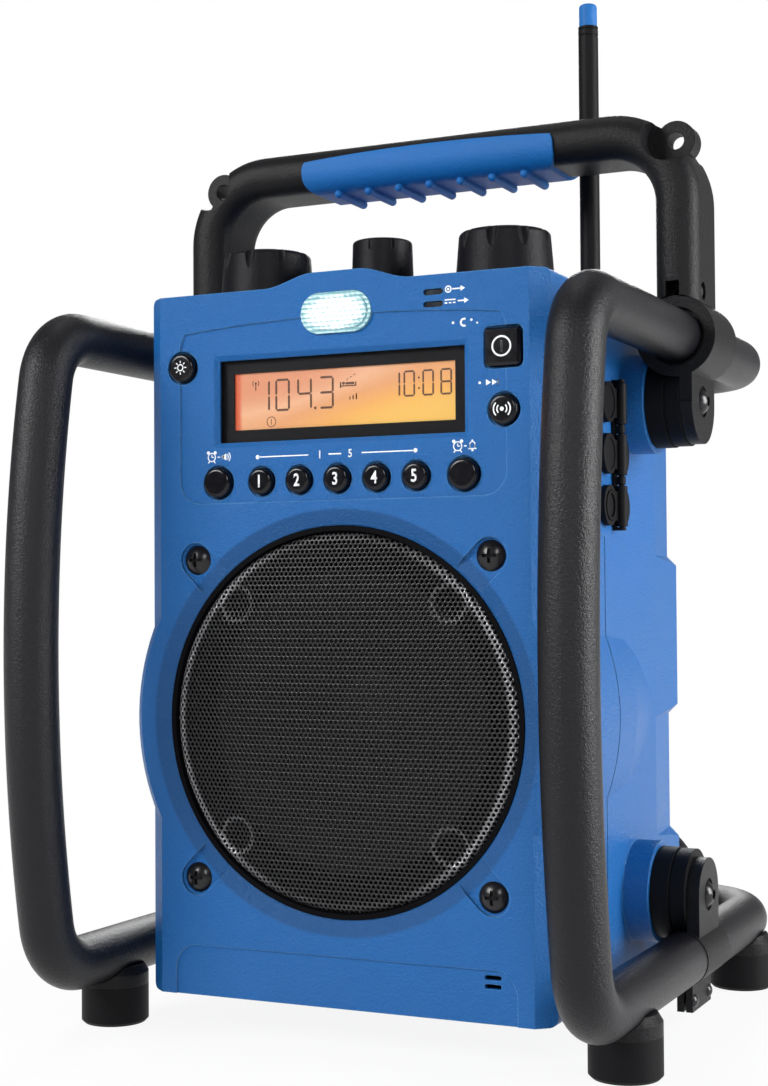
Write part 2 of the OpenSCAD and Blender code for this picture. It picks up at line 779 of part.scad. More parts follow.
module battery_door() color(BLUE) {
    difference() {
        union() {
            plate_xz(rear_y - door_t, rear_y) translate([0, bay_z])
                rounded_rect(door_w - 2 * play, door_h - 2 * play, 1.5);
            for (x = [-26, 26]) {
                hinge_knuckle(x, knuckle_w);
                box(x - knuckle_w / 2, x + knuckle_w / 2, rear_y - 1, rear_y + 2, bay_z - door_h / 2 + play, bay_z - door_h / 2 + 6);
                box(x - knuckle_w / 2, x + knuckle_w / 2, rear_y + 0.4, hinge_y, hinge_z, bay_z - door_h / 2 + 2);
            }
            // Stiffening ribs
            for (x = [-48:16:48])
                box(x - 1, x + 1, rear_y - 0.5, rear_y + 1.2, bay_z - door_h / 2 + 12, bay_z + door_h / 2 - 16);
            rod_y(0, rear_y - 0.5, rear_y + 1.2, thumb_z, thumb_r + 1.4);
        }
        rod_x(-60, 60, hinge_y, hinge_z, hinge_pin_d / 2 + slip / 2);
        rod_y(0, rear_y - 6, rear_y + 3, thumb_z, thumb_shaft_r + slip);
    }
}

module door_hinge_pin() color(STEEL) {
    rod_x(-58.4, 58.4, hinge_y, hinge_z, hinge_pin_d / 2);
}

module door_thumbscrew() color(BLACK) {
    difference() {
        union() {
            rod_y(0, rear_y - 6, rear_y + 2, thumb_z, thumb_shaft_r);
            rod_y(0, rear_y + 1.5, rear_y + 7, thumb_z, thumb_r);
        }
        for (a = [0:30:330])
            translate([0, rear_y, thumb_z]) rotate([0, a, 0]) translate([thumb_r + 0.6, 0, 0])
                rotate([-90, 0, 0]) cylinder(h = 9, r = 1.5);
        box(-thumb_r - 1, thumb_r + 1, rear_y + 5, rear_y + 8, thumb_z - 0.8, thumb_z + 0.8);
    }
}

module battery_cells() {
    cell_y = bay_y0 + cell_play + cell_d / 2;
    for (row = [-1, 1], side = [-1, 1])
        translate([side * (cell_l / 2 + cell_play / 2), cell_y, bay_z + row * (cell_d / 2 + cell_play / 2)])
            rotate([0, 90, 0]) {
                color(row > 0 ? "goldenrod" : "darkslategray")
                    translate([0, 0, -cell_l / 2 + 0.75]) cylinder(h = cell_l - 2.25, r = cell_d / 2);
                color(STEEL) translate([0, 0, cell_l / 2 - 1.5]) cylinder(h = 1.5, r = 5);
                color(STEEL) translate([0, 0, -cell_l / 2]) cylinder(h = 0.75, r = 14);
            }
}

module battery_contacts() color(STEEL) {
    both_sides() for (row = [-1, 1])
        box(cell_l + cell_play, bay_w / 2, bay_y0 + 4, bay_y1 - 4,
            bay_z + row * (cell_d + cell_play) / 2 - 9, bay_z + row * (cell_d + cell_play) / 2 + 9);
}

// ---------- Display and lamp ----------

module display_window() color([0.85, 0.9, 0.95, 0.4]) {
    plate_xz(window_y, window_y + window_t) translate([0, window_z]) rounded_rect(window_w + 5, window_h + 4, 1);
}

module display_frame() color(BLACK) {
    plate_xz(window_y + window_t, lcd_y) translate([0, window_z]) difference() {
        rounded_rect(window_w + 5, window_h + 4, 1);
        square([lcd_w, lcd_h], center = true);
    }
}

module display_panel() color([1, 0.68, 0.36]) {
    plate_xz(lcd_y, lcd_y + lcd_t) translate([0, window_z]) square([lcd_w + 4, lcd_h + 8], center = true);
}

module lamp_lens() color([0.93, 0.99, 1]) {
    plate_xz(front_y - 0.4, inner_y) translate([0, lens_z]) stadium(lens_w, lens_h);
    plate_xz(front_y - 1, front_y) translate([0, lens_z]) stadium(lens_w - 3, lens_h - 3);
    plate_xz(inner_y, inner_y + 1) translate([0, lens_z - 0.8]) stadium(lens_w + 4, lens_h + 1);
}

module lamp_reflector() color(STEEL) {
    difference() {
        plate_xz(inner_y + 1, board_y) translate([0, lens_z - 0.8]) stadium(lens_w + 4, lens_h + 1);
        for (x = [-7, 7]) cone_y(x, inner_y + 1 - eps, board_y - 0.8, lens_z - 0.8, 6, 2);
    }
}

module indicator_lenses() color([0.25, 0.3, 0.36]) {
    for (z = slot_z) plate_xz(front_y + 1, inner_y) translate([slot_x, z]) stadium(slot_w - 2 * slip, slot_h - 2 * slip);
    plate_xz(inner_y, inner_y + 1) translate([slot_x, (slot_z[0] + slot_z[1]) / 2 - 1.2]) square([slot_w + 3, 8.6], center = true);
}

// ---------- Speaker ----------

// Four balls that press the grille's round dimples, grown by grow
module dimple_balls(grow) {
    out = dimple_at / sqrt(2);
    skin_y = grille_rim_y - dome_h + dome_r - sqrt(pow(dome_r, 2) - pow(dimple_at, 2));
    ball_r = (pow(dimple_d / 2, 2) + pow(dimple_depth, 2)) / (2 * dimple_depth);
    for (x = [-1, 1], z = [-1, 1])
        translate([x * out, skin_y + dimple_depth - ball_r, speaker_z + z * out]) sphere(ball_r + grow);
}

// The domed sheet between two spheres, with a rim and four round dimples
module speaker_grille() color(BLACK) {
    ball_y = grille_rim_y - dome_h + dome_r;
    difference() {
        intersection() {
            rod_y(0, grille_rim_y - dome_h - 1, grille_rim_y + grille_t, speaker_z, grille_r);
            translate([0, ball_y, speaker_z]) sphere(dome_r, $fn = 256);
        }
        difference() {
            intersection() {
                rod_y(0, grille_rim_y - dome_h - 1, grille_rim_y + grille_t + 1, speaker_z, grille_r - 1.2);
                translate([0, ball_y, speaker_z]) sphere(dome_r - grille_t, $fn = 256);
            }
            dimple_balls(grille_t * 0.8);
        }
        dimple_balls(0);
    }
}

module grille_seat() color(RUBBER) {
    rim = grille_rim_y + grille_t;
    revolve_y(0, speaker_z)
        polygon([[grille_r - 3.2, rim], [grille_r + slip, rim], [grille_r + slip, inner_y - 1.4],
                 [opening_r - slip, inner_y - 1.4], [opening_r - slip, inner_y], [opening_r + 4, inner_y],
                 [opening_r + 4, basket_y], [grille_r - 3.2, basket_y]]);
}

module speaker_basket() color([0.3, 0.31, 0.33]) {
    shelf_r = opening_r - 2;
    difference() {
        union() {
            revolve_y(0, speaker_z)
                polygon([[shelf_r - 4, basket_y + 4], [shelf_r, basket_y + 4], [shelf_r, basket_y],
                         [basket_r, basket_y], [basket_r, basket_y + basket_t], [shelf_r + 2, basket_y + basket_t],
                         [shelf_r + 2, basket_y + 6], [42, basket_y + 41], [14, basket_y + 41],
                         [14, basket_y + 38.5], [40, basket_y + 38.5], [shelf_r - 2, basket_y + 6], [shelf_r - 4, basket_y + 6]]);
            at_face_screws() rod_y(0, basket_y, basket_y + basket_t, 0, 6);
            for (x = [-1, 1], z = [-1, 1])
                translate([0, basket_y, speaker_z]) rotate([0, x * (z > 0 ? 45 : 135), 0])
                    translate([-5, 0, basket_r - 3]) cube([10, basket_t, ring_r + face_screw_out - basket_r + 3]);
        }
        at_face_screws() rod_y(0, basket_y - 1, basket_y + 4, 0, 2 + slip);
        for (a = [0:60:300])
            translate([0, 0, speaker_z]) rotate([0, a, 0])
                box(-13, 13, basket_y + 9, basket_y + 35, 36, ring_r);
    }
}

module speaker_surround() color(RUBBER) {
    mid_r = opening_r - 9.5;
    y = basket_y + 4;
    difference() {
        union() {
            revolve_y(0, speaker_z) translate([mid_r, y]) ring(4, 3.2);
            revolve_y(0, speaker_z) translate([mid_r + 3.4, y - 0.8]) square([opening_r - 2 - slip - mid_r - 3.4, 0.8]);
            revolve_y(0, speaker_z) translate([mid_r - 6, y - 0.8]) square([2.6, 0.8]);
        }
        rod_y(0, y, y + 6, speaker_z, ring_r);
    }
}

module speaker_cone() color([0.15, 0.15, 0.16]) {
    rim_r = opening_r - 9.5 - 3.6;
    y = basket_y + 4;
    neck_y = y + 26;
    cap_h = 5;
    revolve_y(0, speaker_z)
        polygon([[rim_r, y], [rim_r, y + 0.8], [17.5, neck_y + 0.8], [13, neck_y + 0.8], [13, y + 39.5],
                 [12.3, y + 39.5], [12.3, neck_y], [17, neck_y], [rim_r - 1.2, y]]);
    translate([0, neck_y, speaker_z]) rotate([90, 0, 0]) domed_head(17, cap_h);
}

module speaker_magnet() color(STEEL) {
    y = basket_y + 41;
    difference() {
        union() {
            rod_y(0, y, y + 14, speaker_z, 43);
            rod_y(0, y + 14, y + 18, speaker_z, 36);
            rod_y(0, y - 2.4, y, speaker_z, 11.6);
        }
        revolve_y(0, speaker_z) translate([11.6, y - 3]) square([2.2, 13]);
    }
}

// ---------- Knobs ----------

// Where each knob stands: X, height of its seat, base diameter, height
module place_knob(x, seat_z) translate([x, knob_y, seat_z + play]) children();

module knob_bore(h) {
    translate([0, 0, -1]) cylinder(h = h - 3, r = shaft_r + 0.02);
    translate([0, 0, -1]) cylinder(h = 5, r = bushing_r + 2);
}

// A large knob: slightly tapered, with a rounded shoulder and finger notches in its top edge
module large_knob() {
    r = knob_d / 2;
    top_r = r - 1.5;
    notch_r = 2.4;
    notch_tilt = atan((notch_r - 0.4 + 1.5 * notch_h / knob_h) / notch_h);
    difference() {
        rotate_extrude() {
            polygon([[0, 0], [r, 0], [top_r, knob_h - 2], [0, knob_h - 2]]);
            square([top_r - 2, knob_h]);
            translate([top_r - 2, knob_h - 2]) circle(2);
        }
        for (i = [0:knob_notches - 1])
            rotate([0, 0, (i + 0.5) * 360 / knob_notches + 15]) translate([top_r + 0.4, 0, knob_h])
                rotate([0, 180 - notch_tilt, 0]) translate([0, 0, -5]) cylinder(h = notch_h + 12, r = notch_r);
        knob_bore(knob_h);
    }
}

module middle_knob() {
    r = small_knob_d / 2;
    top_r = r - 0.5;
    difference() {
        rotate_extrude() {
            polygon([[0, 0], [r, 0], [top_r, small_knob_h - 1.2], [0, small_knob_h - 1.2]]);
            square([top_r - 1.2, small_knob_h]);
            translate([top_r - 1.2, small_knob_h - 1.2]) circle(1.2);
        }
        // Short marks in the top edge
        for (a = [0:45:315]) rotate([0, 0, a]) translate([top_r - 0.5, -0.45, small_knob_h - 4.5]) cube([2, 0.9, 6]);
        knob_bore(small_knob_h);
    }
}

module volume_knob() color(BLACK) place_knob(-knob_x, body_z1) large_knob();
module tuning_knob() color(BLACK) place_knob(knob_x, body_z1) large_knob();
module centre_knob() color(BLACK) place_knob(0, body_z1 + hump_h) middle_knob();

module knob_shaft(x, seat_z, h) color(STEEL) {
    rod_z(x, knob_y, body_z1 - wall - 8, seat_z + h - 5, shaft_r);
}

module volume_shaft() knob_shaft(-knob_x, body_z1, knob_h);
module tuning_shaft() knob_shaft(knob_x, body_z1, knob_h);
module centre_shaft() knob_shaft(0, body_z1 + hump_h, small_knob_h);

module encoders() color(STEEL) {
    for (x = [-knob_x, 0, knob_x]) difference() {
        union() {
            box(x - 6.5, x + 6.5, knob_y - 6.5, knob_y + 6.5, body_z1 - wall - 7.5, body_z1 - wall);
            rod_z(x, knob_y, body_z1 - wall - eps, body_z1 + (x == 0 ? hump_h : 0) + 2.5, bushing_r);
        }
        rod_z(x, knob_y, body_z1 - wall - 9, body_z1 + 9, shaft_r + fit);
    }
}

// ---------- Buttons ----------

// A round button: cap, retaining flange behind the wall, and the stem to its switch
module round_button(x, z, d) color(BLACK) {
    cap_y = panel_y - button_proud;
    flange_y = inner_y + play;
    translate([x, 0, z]) {
        revolve_y(0, 0) {
            translate([0, cap_y]) square([d / 2 - cap_round, flange_y - cap_y]);
            translate([0, cap_y + cap_round]) square([d / 2, flange_y - cap_y - cap_round]);
            translate([d / 2 - cap_round, cap_y + cap_round]) circle(cap_round);
        }
        rod_y(0, flange_y, flange_y + flange_t, 0, d / 2 + 1.1);
        rod_y(0, flange_y + flange_t, board_y - button_travel - play, 0, 2);
    }
}

// The square cap's chamfered section: its width and its Y
module power_profile(y0, y1) {
    w = power_w / 2;
    polygon([[-w - 1, y1 + 1], [-w - 1, y0 + 1.9], [-w + 0.9, y0], [w - 0.9, y0], [w + 1, y0 + 1.9], [w + 1, y1 + 1]]);
}

module power_button() color(BLACK) {
    cap_y = panel_y - button_proud;
    flange_y = inner_y + play;
    translate([side_button_x, 0, power_z]) {
        intersection() {
            plate_xz(cap_y, flange_y) rounded_rect(power_w, power_w, 1.8);
            linear_extrude(power_w + 2, center = true) power_profile(cap_y, flange_y);
            rotate([0, 90, 0]) linear_extrude(power_w + 2, center = true) power_profile(cap_y, flange_y);
        }
        plate_xz(flange_y, flange_y + flange_t) rounded_rect(power_w + 2.2, power_w + 2.2, 1.8);
        rod_y(0, flange_y + flange_t, board_y - button_travel - play, 0, 2);
    }
}

module preset_button(i) round_button((i - 3) * preset_pitch, row_z, preset_d);

// ---------- Boards and sockets ----------

module circuit_boards() color([0.1, 0.35, 0.2]) {
    difference() {
        plate_xz(board_y, board_y + board_t)
            translate([0, (row_z + lens_z) / 2 - 2]) square([152, lens_z - row_z + 10], center = true);
        for (x = [-post_x, post_x]) rod_y(x, board_y - 1, board_y + 3, post_zs[1], post_r + play);
    }
    plate_xz(30, 31.6) translate([0, window_z - 17]) square([120, 70], center = true);
    box(-30, -6, 24, 30, window_z - 30, window_z - 10);
    box(10, 34, 26, 30, window_z - 20, window_z + 4);
    for (x = [-44, 46]) rod_y(x, 12, 30, window_z - 34, 6);
}

module side_sockets() color(BLACK) {
    for (z = cover_zs) difference() {
        union() {
            box(half_w - wall - 13, half_w - wall, cover_y - 5, cover_y + 5, z - 5.5, z + 5.5);
            rod_x(half_w - wall - eps, half_w - 0.8, cover_y, z, socket_r);
        }
        rod_x(half_w - wall - 10, half_w, cover_y, z, 1.8);
    }
}

// The hinge strip that holds the covers: a spine, a flap behind each cover, and one long pin
module cover_hinge() color(RUBBER) {
    z_low = cover_zs[2] - cover_d / 2;
    z_high = cover_zs[0] + cover_d / 2;
    box(half_w, half_w + 1.1, barrel_y - 1.6, barrel_y + 2.6, z_low, z_high);
    difference() {
        for (z = cover_zs) rod_x(half_w, half_w + 3.2, barrel_y + 3.4, z, cover_d / 2 - 0.6);
        box(half_w - 1, half_w + 5, barrel_y - 9, barrel_y + barrel_or + play, z_low - 5, z_high + 5);
        rod_x(half_w - 1, boss_x + 1, mount_y, upper_mount_z, boss_d / 2 + 0.6);
    }
    rod_z(barrel_x, barrel_y, z_low, z_high, cover_pin_r);
    for (i = [0, 1]) {
        z0 = cover_zs[i + 1] + cover_d / 2;
        z1 = cover_zs[i] - cover_d / 2;
        rod_z(barrel_x, barrel_y, z0 + play, z1 - play, 1.6);
        box(half_w, barrel_x, barrel_y - 1, barrel_y + 1, z0 + play, z1 - play);
    }
    // End stops of the pin
    for (z = [z_low - 1.2, z_high]) {
        rod_z(barrel_x, barrel_y, z, z + 1.2, 1.6);
        box(half_w, barrel_x, barrel_y - 1, barrel_y + 1, z, z + 1.2);
    }
}

module socket_cover(i) color(RUBBER) {
    z = cover_zs[i];
    h = cover_d - 2 * play;
    difference() {
        union() {
            rod_x(cover_in_x, cover_out_x, cover_y, z, cover_d / 2 - play);
            rod_z(barrel_x, barrel_y, z - h / 2, z + h / 2, barrel_or);
            box(half_w + 1.6, cover_out_x, cover_y, barrel_y, z - 5.6, z + 5.6);
            rod_x(half_w - 0.4, cover_in_x + 0.1, cover_y, z, 2.9);
        }
        rod_z(barrel_x, barrel_y, z - h, z + h, cover_pin_r + 0.06);
        // A sunk field within a raised rim
        rod_x(cover_out_x - 0.5, cover_out_x + 1, cover_y, z, cover_d / 2 - 2);
    }
    // The lowest cover also has a raised ring in its middle
    if (i == 2) rod_x_ring(cover_out_x - 0.5, cover_out_x + 0.3, cover_y, z, cover_d / 2 - 2.6, cover_d / 2 - 3.4);
}

// ---------- Aerial ----------

module aerial_base() color(BLACK) {
    difference() {
        union() {
            rod_z(aerial_x, aerial_y, body_z1 - wall - 9, body_z1, 5);
            translate([aerial_x, aerial_y, body_z1]) cylinder(h = aerial_base_h, r1 = 8.5, r2 = 6);
        }
        rod_z(aerial_x, aerial_y, body_z1 - 2, body_z1 + aerial_base_h + 1, aerial_r + fit);
    }
}

module aerial_rod() color(CHARCOAL) {
    rod_top = aerial_top_z - tip_l;
    difference() {
        rod_z(aerial_x, aerial_y, body_z1 - 2, rod_top, aerial_r);
        for (z = [rod_top - 1.6, rod_top - 4.2])
            translate([aerial_x, aerial_y, z]) rotate_extrude() translate([aerial_r - 0.35, 0]) square([2, 0.7]);
    }
}

module aerial_tip() color(BLUE) {
    r = aerial_r - 0.4;
    translate([aerial_x, aerial_y, aerial_top_z - tip_l]) rotate_extrude() {
        square([r, tip_l - 1.5]);
        square([r - 1.5, tip_l]);
        intersection() {
            translate([r - 1.5, tip_l - 1.5]) circle(1.5);
            square([r + 1, tip_l + 1]);
        }
    }
}

// ---------- Cage ----------

// Lengths of tube in a plane: straight from p to q, or an arc about c
module tube_straight(p, q, r, bore) {
    d = q - p;
    translate([p[0], p[1], 0]) rotate([0, 0, atan2(d[1], d[0])]) rotate([0, 90, 0])
        linear_extrude(norm(d)) ring(r, bore);
}

module tube_arc(c, bend, a0, a1, r, bore, smooth = 64) {
    translate([c[0], c[1], 0]) rotate([0, 0, a0])
        rotate_extrude(angle = a1 - a0, $fn = smooth) translate([bend, 0]) ring(r, bore);
}

// A tube's rounded end, pointing along +X of its plane, then the swaged spigot
module tube_end(p, towards, spigot_l) {
    translate([p[0], p[1], 0]) rotate([0, 0, towards]) rotate([0, 90, 0]) rotate_extrude() {
        translate([tube_bore / 2, -end_round]) square([tube_r - end_round - tube_bore / 2, end_round]);
        intersection() {
            translate([tube_r - end_round, -end_round]) circle(end_round);
            translate([tube_bore / 2, -end_round]) square([tube_r, end_round]);
        }
        translate([tube_bore / 2, -eps]) square([(spigot_d - tube_bore) / 2, spigot_l]);
    }
}

// A hoop is a bowed length between two corner pieces, with a hairline joint of 0.02 mm at each end
module hoop() {
    half_span = (high_z - low_z) / 2;
    phi = asin((half_span - hoop_bend_r) / (bow_r - hoop_bend_r));
    bow_y = hoop_y + bow_r;
    bend_y = bow_y - (bow_r - hoop_bend_r) * cos(phi);
    bore = tube_bore / 2;
    translate([0, 0, (high_z + low_z) / 2]) rotate([90, 0, 90]) {
        tube_arc([bow_y, 0], bow_r, 180 - phi, 180 + phi, tube_r, bore, 720);
        for (m = [0, 1]) mirror([0, m, 0]) {
            tube_straight([bend_y, half_span], [hoop_end_y - end_round, half_span], tube_r, bore);
            tube_arc([bend_y, half_span - hoop_bend_r], hoop_bend_r, 90, 179.95 - phi, tube_r, bore);
            tube_end([hoop_end_y, half_span], 0, mount_y - play - hoop_end_y);
        }
    }
}

module left_hoop() color(CHARCOAL) translate([-side_x, 0, 0]) hoop();
module right_hoop() color(CHARCOAL) translate([side_x, 0, 0]) hoop();

module rear_bar(z) {
    bore = tube_bore / 2;
    bend_x = side_x - rear_bend_r;
    bend_y = rear_bar_y - rear_bend_r;
    start_y = clamp_y1 + end_round + slip;
    translate([0, 0, z]) {
        tube_arc([bend_x, bend_y], rear_bend_r, 0, 90, tube_r, bore);
        tube_arc([-bend_x, bend_y], rear_bend_r, 90, 180, tube_r, bore);
        tube_straight([-bend_x, rear_bar_y], [bend_x, rear_bar_y], tube_r, bore);
        for (x = [-side_x, side_x]) {
            tube_straight([x, start_y], [x, bend_y], tube_r, bore);
            tube_end([x, start_y - end_round], -90, clamp_y1 + slip - mount_y - play);
        }
    }
}

module upper_rear_bar() color(CHARCOAL) rear_bar(high_z);
module lower_rear_bar() color(CHARCOAL) rear_bar(low_z);

// What the buffers and the bosses take up beside a clamp
module buffer_space(z) {
    rod_x(boss_x - 1, buffer_x, mount_y, z, buffer_d / 2 + play);
    rod_x(half_w, boss_x + play, mount_y, z, boss_d / 2 + play);
}

module lug_screw_hole(z) {
    rod_x(buffer_x - 1, lug_x + 1, mount_y, z, mount_screw_d / 2 + play);
    rod_x(lug_x - seat_depth, lug_x + 1, mount_y, z, mount_head_d / 2 + 0.9);
}

module upper_clamp() {
    difference() {
        union() {
            difference() {
                rod_y(side_x, clamp_y0, clamp_y1, high_z, clamp_d / 2);
                buffer_space(upper_mount_z);
            }
            rod_y(side_x, clamp_y0, clamp_y1, high_z, barrel_r);
            // Lug plate with a full-round end
            rod_x(buffer_x, lug_x, mount_y, upper_mount_z, lug_w / 2);
            box(buffer_x, lug_x, mount_y - lug_w / 2, mount_y + lug_w / 2, upper_mount_z, high_z);
            // Tongue inside the handle's leg
            box(side_x - tongue[0] / 2, side_x + tongue[0] / 2, mount_y - tongue[1] / 2, mount_y + tongue[1] / 2,
                high_z + barrel_r, high_z + clamp_d / 2 + tongue[2]);
        }
        rod_y(side_x, clamp_y0 - 2, clamp_y1 + 2, high_z, spigot_d / 2 + fit);
        rod_y(side_x, clamp_y0 - 2, clamp_y0 + mouth_depth, high_z, mouth_r);
        box(buffer_x - 1, lug_x + 1, clamp_y0 - 3, clamp_y0, upper_mount_z - 1, high_z + 1);
        box(buffer_x - 1, lug_x + 1, clamp_y1, clamp_y1 + 3, upper_mount_z + 6, high_z + 1);
        lug_screw_hole(upper_mount_z);
        // Pilot hole for the leg screw
        rod_x(side_x - 2, side_x + tongue[0], mount_y - 7, leg_screw_z, 1.3);
    }
}

module upper_clamps() color(BLACK) both_sides() upper_clamp();

module lower_clamp() {
    band_r = tube_r + 0.25;
    difference() {
        union() {
            rod_y(side_x, clamp_y0, clamp_y1, low_z, band_r);
            rod_x(buffer_x, lug_x, mount_y, lower_mount_z, low_lug_w / 2);
            box(buffer_x, lug_x, mount_y - low_lug_w / 2, mount_y + low_lug_w / 2, low_z + 4, lower_mount_z);
            for (s = [-1, 1]) {
                x = side_x + s * (ear_gap / 2 + ear_t / 2);
                box(x - ear_t / 2, x + ear_t / 2, mount_y - ear_l / 2, mount_y + ear_l / 2, ear_z0, low_z - 4);
            }
        }
        rod_y(side_x, clamp_y0 - 2, clamp_y1 + 2, low_z, spigot_d / 2 + fit);
        rod_y(side_x, clamp_y0 - 2, hoop_end_y + slip, low_z, tube_r + slip);
        box(side_x - ear_gap / 2, side_x + ear_gap / 2, clamp_y0 - 1, clamp_y1 + 1, ear_z0 - 1, low_z);
        for (y = [mount_y - 10, mount_y + 10])
            rod_x(side_x - 9, side_x + 9, y, ear_screw_z, ear_screw_r + slip);
        lug_screw_hole(lower_mount_z);
    }
}

module lower_clamps() color(BLACK) both_sides() lower_clamp();

// A grooved rubber disc, with a saddle where the tube passes it
module buffer(z, tube_z, saddle_r) {
    r = buffer_d / 2;
    difference() {
        translate([boss_x, mount_y, z]) rotate([0, 90, 0]) rotate_extrude() difference() {
            translate([mount_screw_d / 2 + 0.2, 0]) square([r - mount_screw_d / 2 - 0.2, buffer_t]);
            translate([r - 0.9, buffer_t * 0.56 - 0.35]) square([2, 0.7]);
            translate([r - 0.4, buffer_t * 0.56]) square([2, buffer_t]);
        }
        rod_y(side_x, clamp_y0 - 9, clamp_y1 + 9, tube_z, saddle_r + play);
    }
}

module rubber_buffers() color(RUBBER) both_sides() {
    buffer(upper_mount_z, high_z, barrel_r);
    buffer(lower_mount_z, low_z, tube_r + 0.25);
}

module mount_screw(z) {
    difference() {
        union() {
            rod_x(half_w - wall - 3, lug_x - seat_depth, mount_y, z, mount_screw_d / 2);
            translate([lug_x - seat_depth, mount_y, z]) rotate([0, 90, 0]) domed_head(mount_head_d / 2, 3.2);
        }
        translate([lug_x - seat_depth + 1.2, mount_y, z]) rotate([0, 90, 0]) cylinder(h = 4, r = 2.2, $fn = 6);
    }
}

module cage_screws() color(CHARCOAL) both_sides() {
    mount_screw(upper_mount_z);
    mount_screw(lower_mount_z);
    for (y = [mount_y - 10, mount_y + 10]) {
        x = side_x + ear_gap / 2 + ear_t;
        rod_x(side_x - ear_gap / 2 - ear_t, x, y, ear_screw_z, ear_screw_r);
        translate([x, y, ear_screw_z]) rotate([0, 90, 0]) domed_head(2.6, 1.4);
    }
    // Leg screw of the handle
    translate([0, mount_y - 7, leg_screw_z]) {
        rod_x(side_x - 1, side_x + handle_t / 2 - 1.5, 0, 0, 1.26);
        translate([side_x + handle_t / 2 - 1.5, 0, 0]) rotate([0, 90, 0]) domed_head(2.8, 1.3);
    }
    // Foot screws
    for (y = foot_ys) {
        rod_z(side_x, y, 5.2, low_z - tube_r, 2);
        rod_z(side_x, y, 2.8, 5.2, 3.8);
    }
}

// ---------- Handle ----------

// The handle's bent section, seen from the front, grown by grow
module handle_path(grow) {
    t = handle_t + 2 * grow;
    deep = handle_deep + 2 * grow;
    r = handle_r + grow;
    bend_x = side_x - handle_bend_r;
    bend_z = bar_z - handle_bend_r;
    foot_z = high_z + clamp_d / 2 - 6;
    translate([0, mount_y, 0]) rotate([90, 0, 0]) {
        translate([-bend_x, bar_z, 0]) rotate([0, 90, 0]) linear_extrude(2 * bend_x) rounded_rect(deep, t, r);
        translate([bend_x, bend_z, 0]) rotate_extrude(angle = 90) translate([handle_bend_r, 0]) rounded_rect(t, deep, r);
        translate([-bend_x, bend_z, 0]) rotate([0, 0, 90]) rotate_extrude(angle = 90)
            translate([handle_bend_r, 0]) rounded_rect(t, deep, r);
        for (x = [-side_x, side_x])
            translate([x, foot_z, 0]) rotate([-90, 0, 0]) linear_extrude(bend_z - foot_z) rounded_rect(t, deep, r);
    }
}

eyelet_out = handle_bend_r + handle_t / 2 - eyelet_in;
eyelet_x = side_x - handle_bend_r + eyelet_out * cos(45);
eyelet_z = bar_z - handle_bend_r + eyelet_out * sin(45);

module handle_frame() color(BLACK) {
    difference() {
        union() {
            difference() {
                handle_path(0);
                // Sunk seats round the eyelets
                both_sides() {
                    rod_y(eyelet_x, mount_y - handle_deep, mount_y - eyelet_t / 2, eyelet_z, eyelet_d / 2 + 2.4);
                    rod_y(eyelet_x, mount_y + eyelet_t / 2, mount_y + handle_deep, eyelet_z, eyelet_d / 2 + 2.4);
                }
            }
            both_sides() rod_y(eyelet_x, mount_y - eyelet_t / 2, mount_y + eyelet_t / 2, eyelet_z, eyelet_d / 2);
        }
        both_sides() {
            rod_y(eyelet_x, mount_y - handle_deep, mount_y + handle_deep, eyelet_z, eyelet_hole_d / 2);
            rod_y(side_x, clamp_y0 - 3, clamp_y1 + 3, high_z, clamp_d / 2 + slip);
            // Socket for the clamp's tongue, with the release slot in front
            box(side_x - tongue[0] / 2 - slip, side_x + tongue[0] / 2 + slip, mount_y - tongue[1] / 2 - slip,
                mount_y + tongue[1] / 2 + slip, high_z, high_z + clamp_d / 2 + tongue[2] + slip);
            box(side_x - 3.4, side_x + 2, mount_y - handle_deep, mount_y, high_z + clamp_d / 2 - 2, high_z + clamp_d / 2 + 5.5);
            rod_x(side_x, side_x + handle_t, mount_y - 7, leg_screw_z, 1.4);
            rod_x(side_x + handle_t / 2 - 1.5, side_x + handle_t, mount_y - 7, leg_screw_z, 3.5);
        }
    }
}

module handle_grip() color(BLUE) {
    front_top = bar_z + handle_t * 0.28;
    back_top = bar_z - handle_t * 0.25;
    low = bar_z - handle_t / 2 - grip_t;
    tall = front_top - low;
    arch = 2.2;
    arch_r = (pow(grip_l / 2, 2) + pow(arch, 2)) / (2 * arch);
    half = grip_l / 2;
    span = rib_pitch * (grip_ribs - 1);
    intersection() {
        translate([-half, mount_y, bar_z]) rotate([90, 0, 90]) linear_extrude(grip_l) difference() {
            rounded_rect(handle_deep + 2 * grip_t, handle_t + 2 * grip_t, handle_r + grip_t);
            rounded_rect(handle_deep, handle_t, handle_r);
        }
        plate_yz(-half - 1, half + 1)
            polygon([[mount_y - handle_deep, bar_z - handle_t], [mount_y - handle_deep, front_top + 2],
                     [mount_y - 4, front_top + 2], [mount_y + 4, back_top], [mount_y + handle_deep, back_top],
                     [mount_y + handle_deep, bar_z - handle_t]]);
        plate_xz(mount_y - handle_deep, mount_y + handle_deep) intersection() {
            translate([0, front_top - tall / 2]) rounded_rect(grip_l, tall + 1.2, tall / 2 - 1);
            translate([0, front_top - arch_r]) circle(arch_r, $fn = 360);
        }
    }
    for (i = [0:grip_ribs - 1])
        translate([i * rib_pitch - span / 2, 0, bar_z - handle_t / 2 - rib_d / 2 - 0.02]) {
            reach = rib_l / 2 - rib_d / 2;
            rod_y(0, mount_y - reach, mount_y + reach, 0, rib_d / 2);
            for (y = [mount_y - reach, mount_y + reach]) translate([0, y, 0]) sphere(rib_d / 2);
        }
}

// ---------- Feet and cord posts ----------

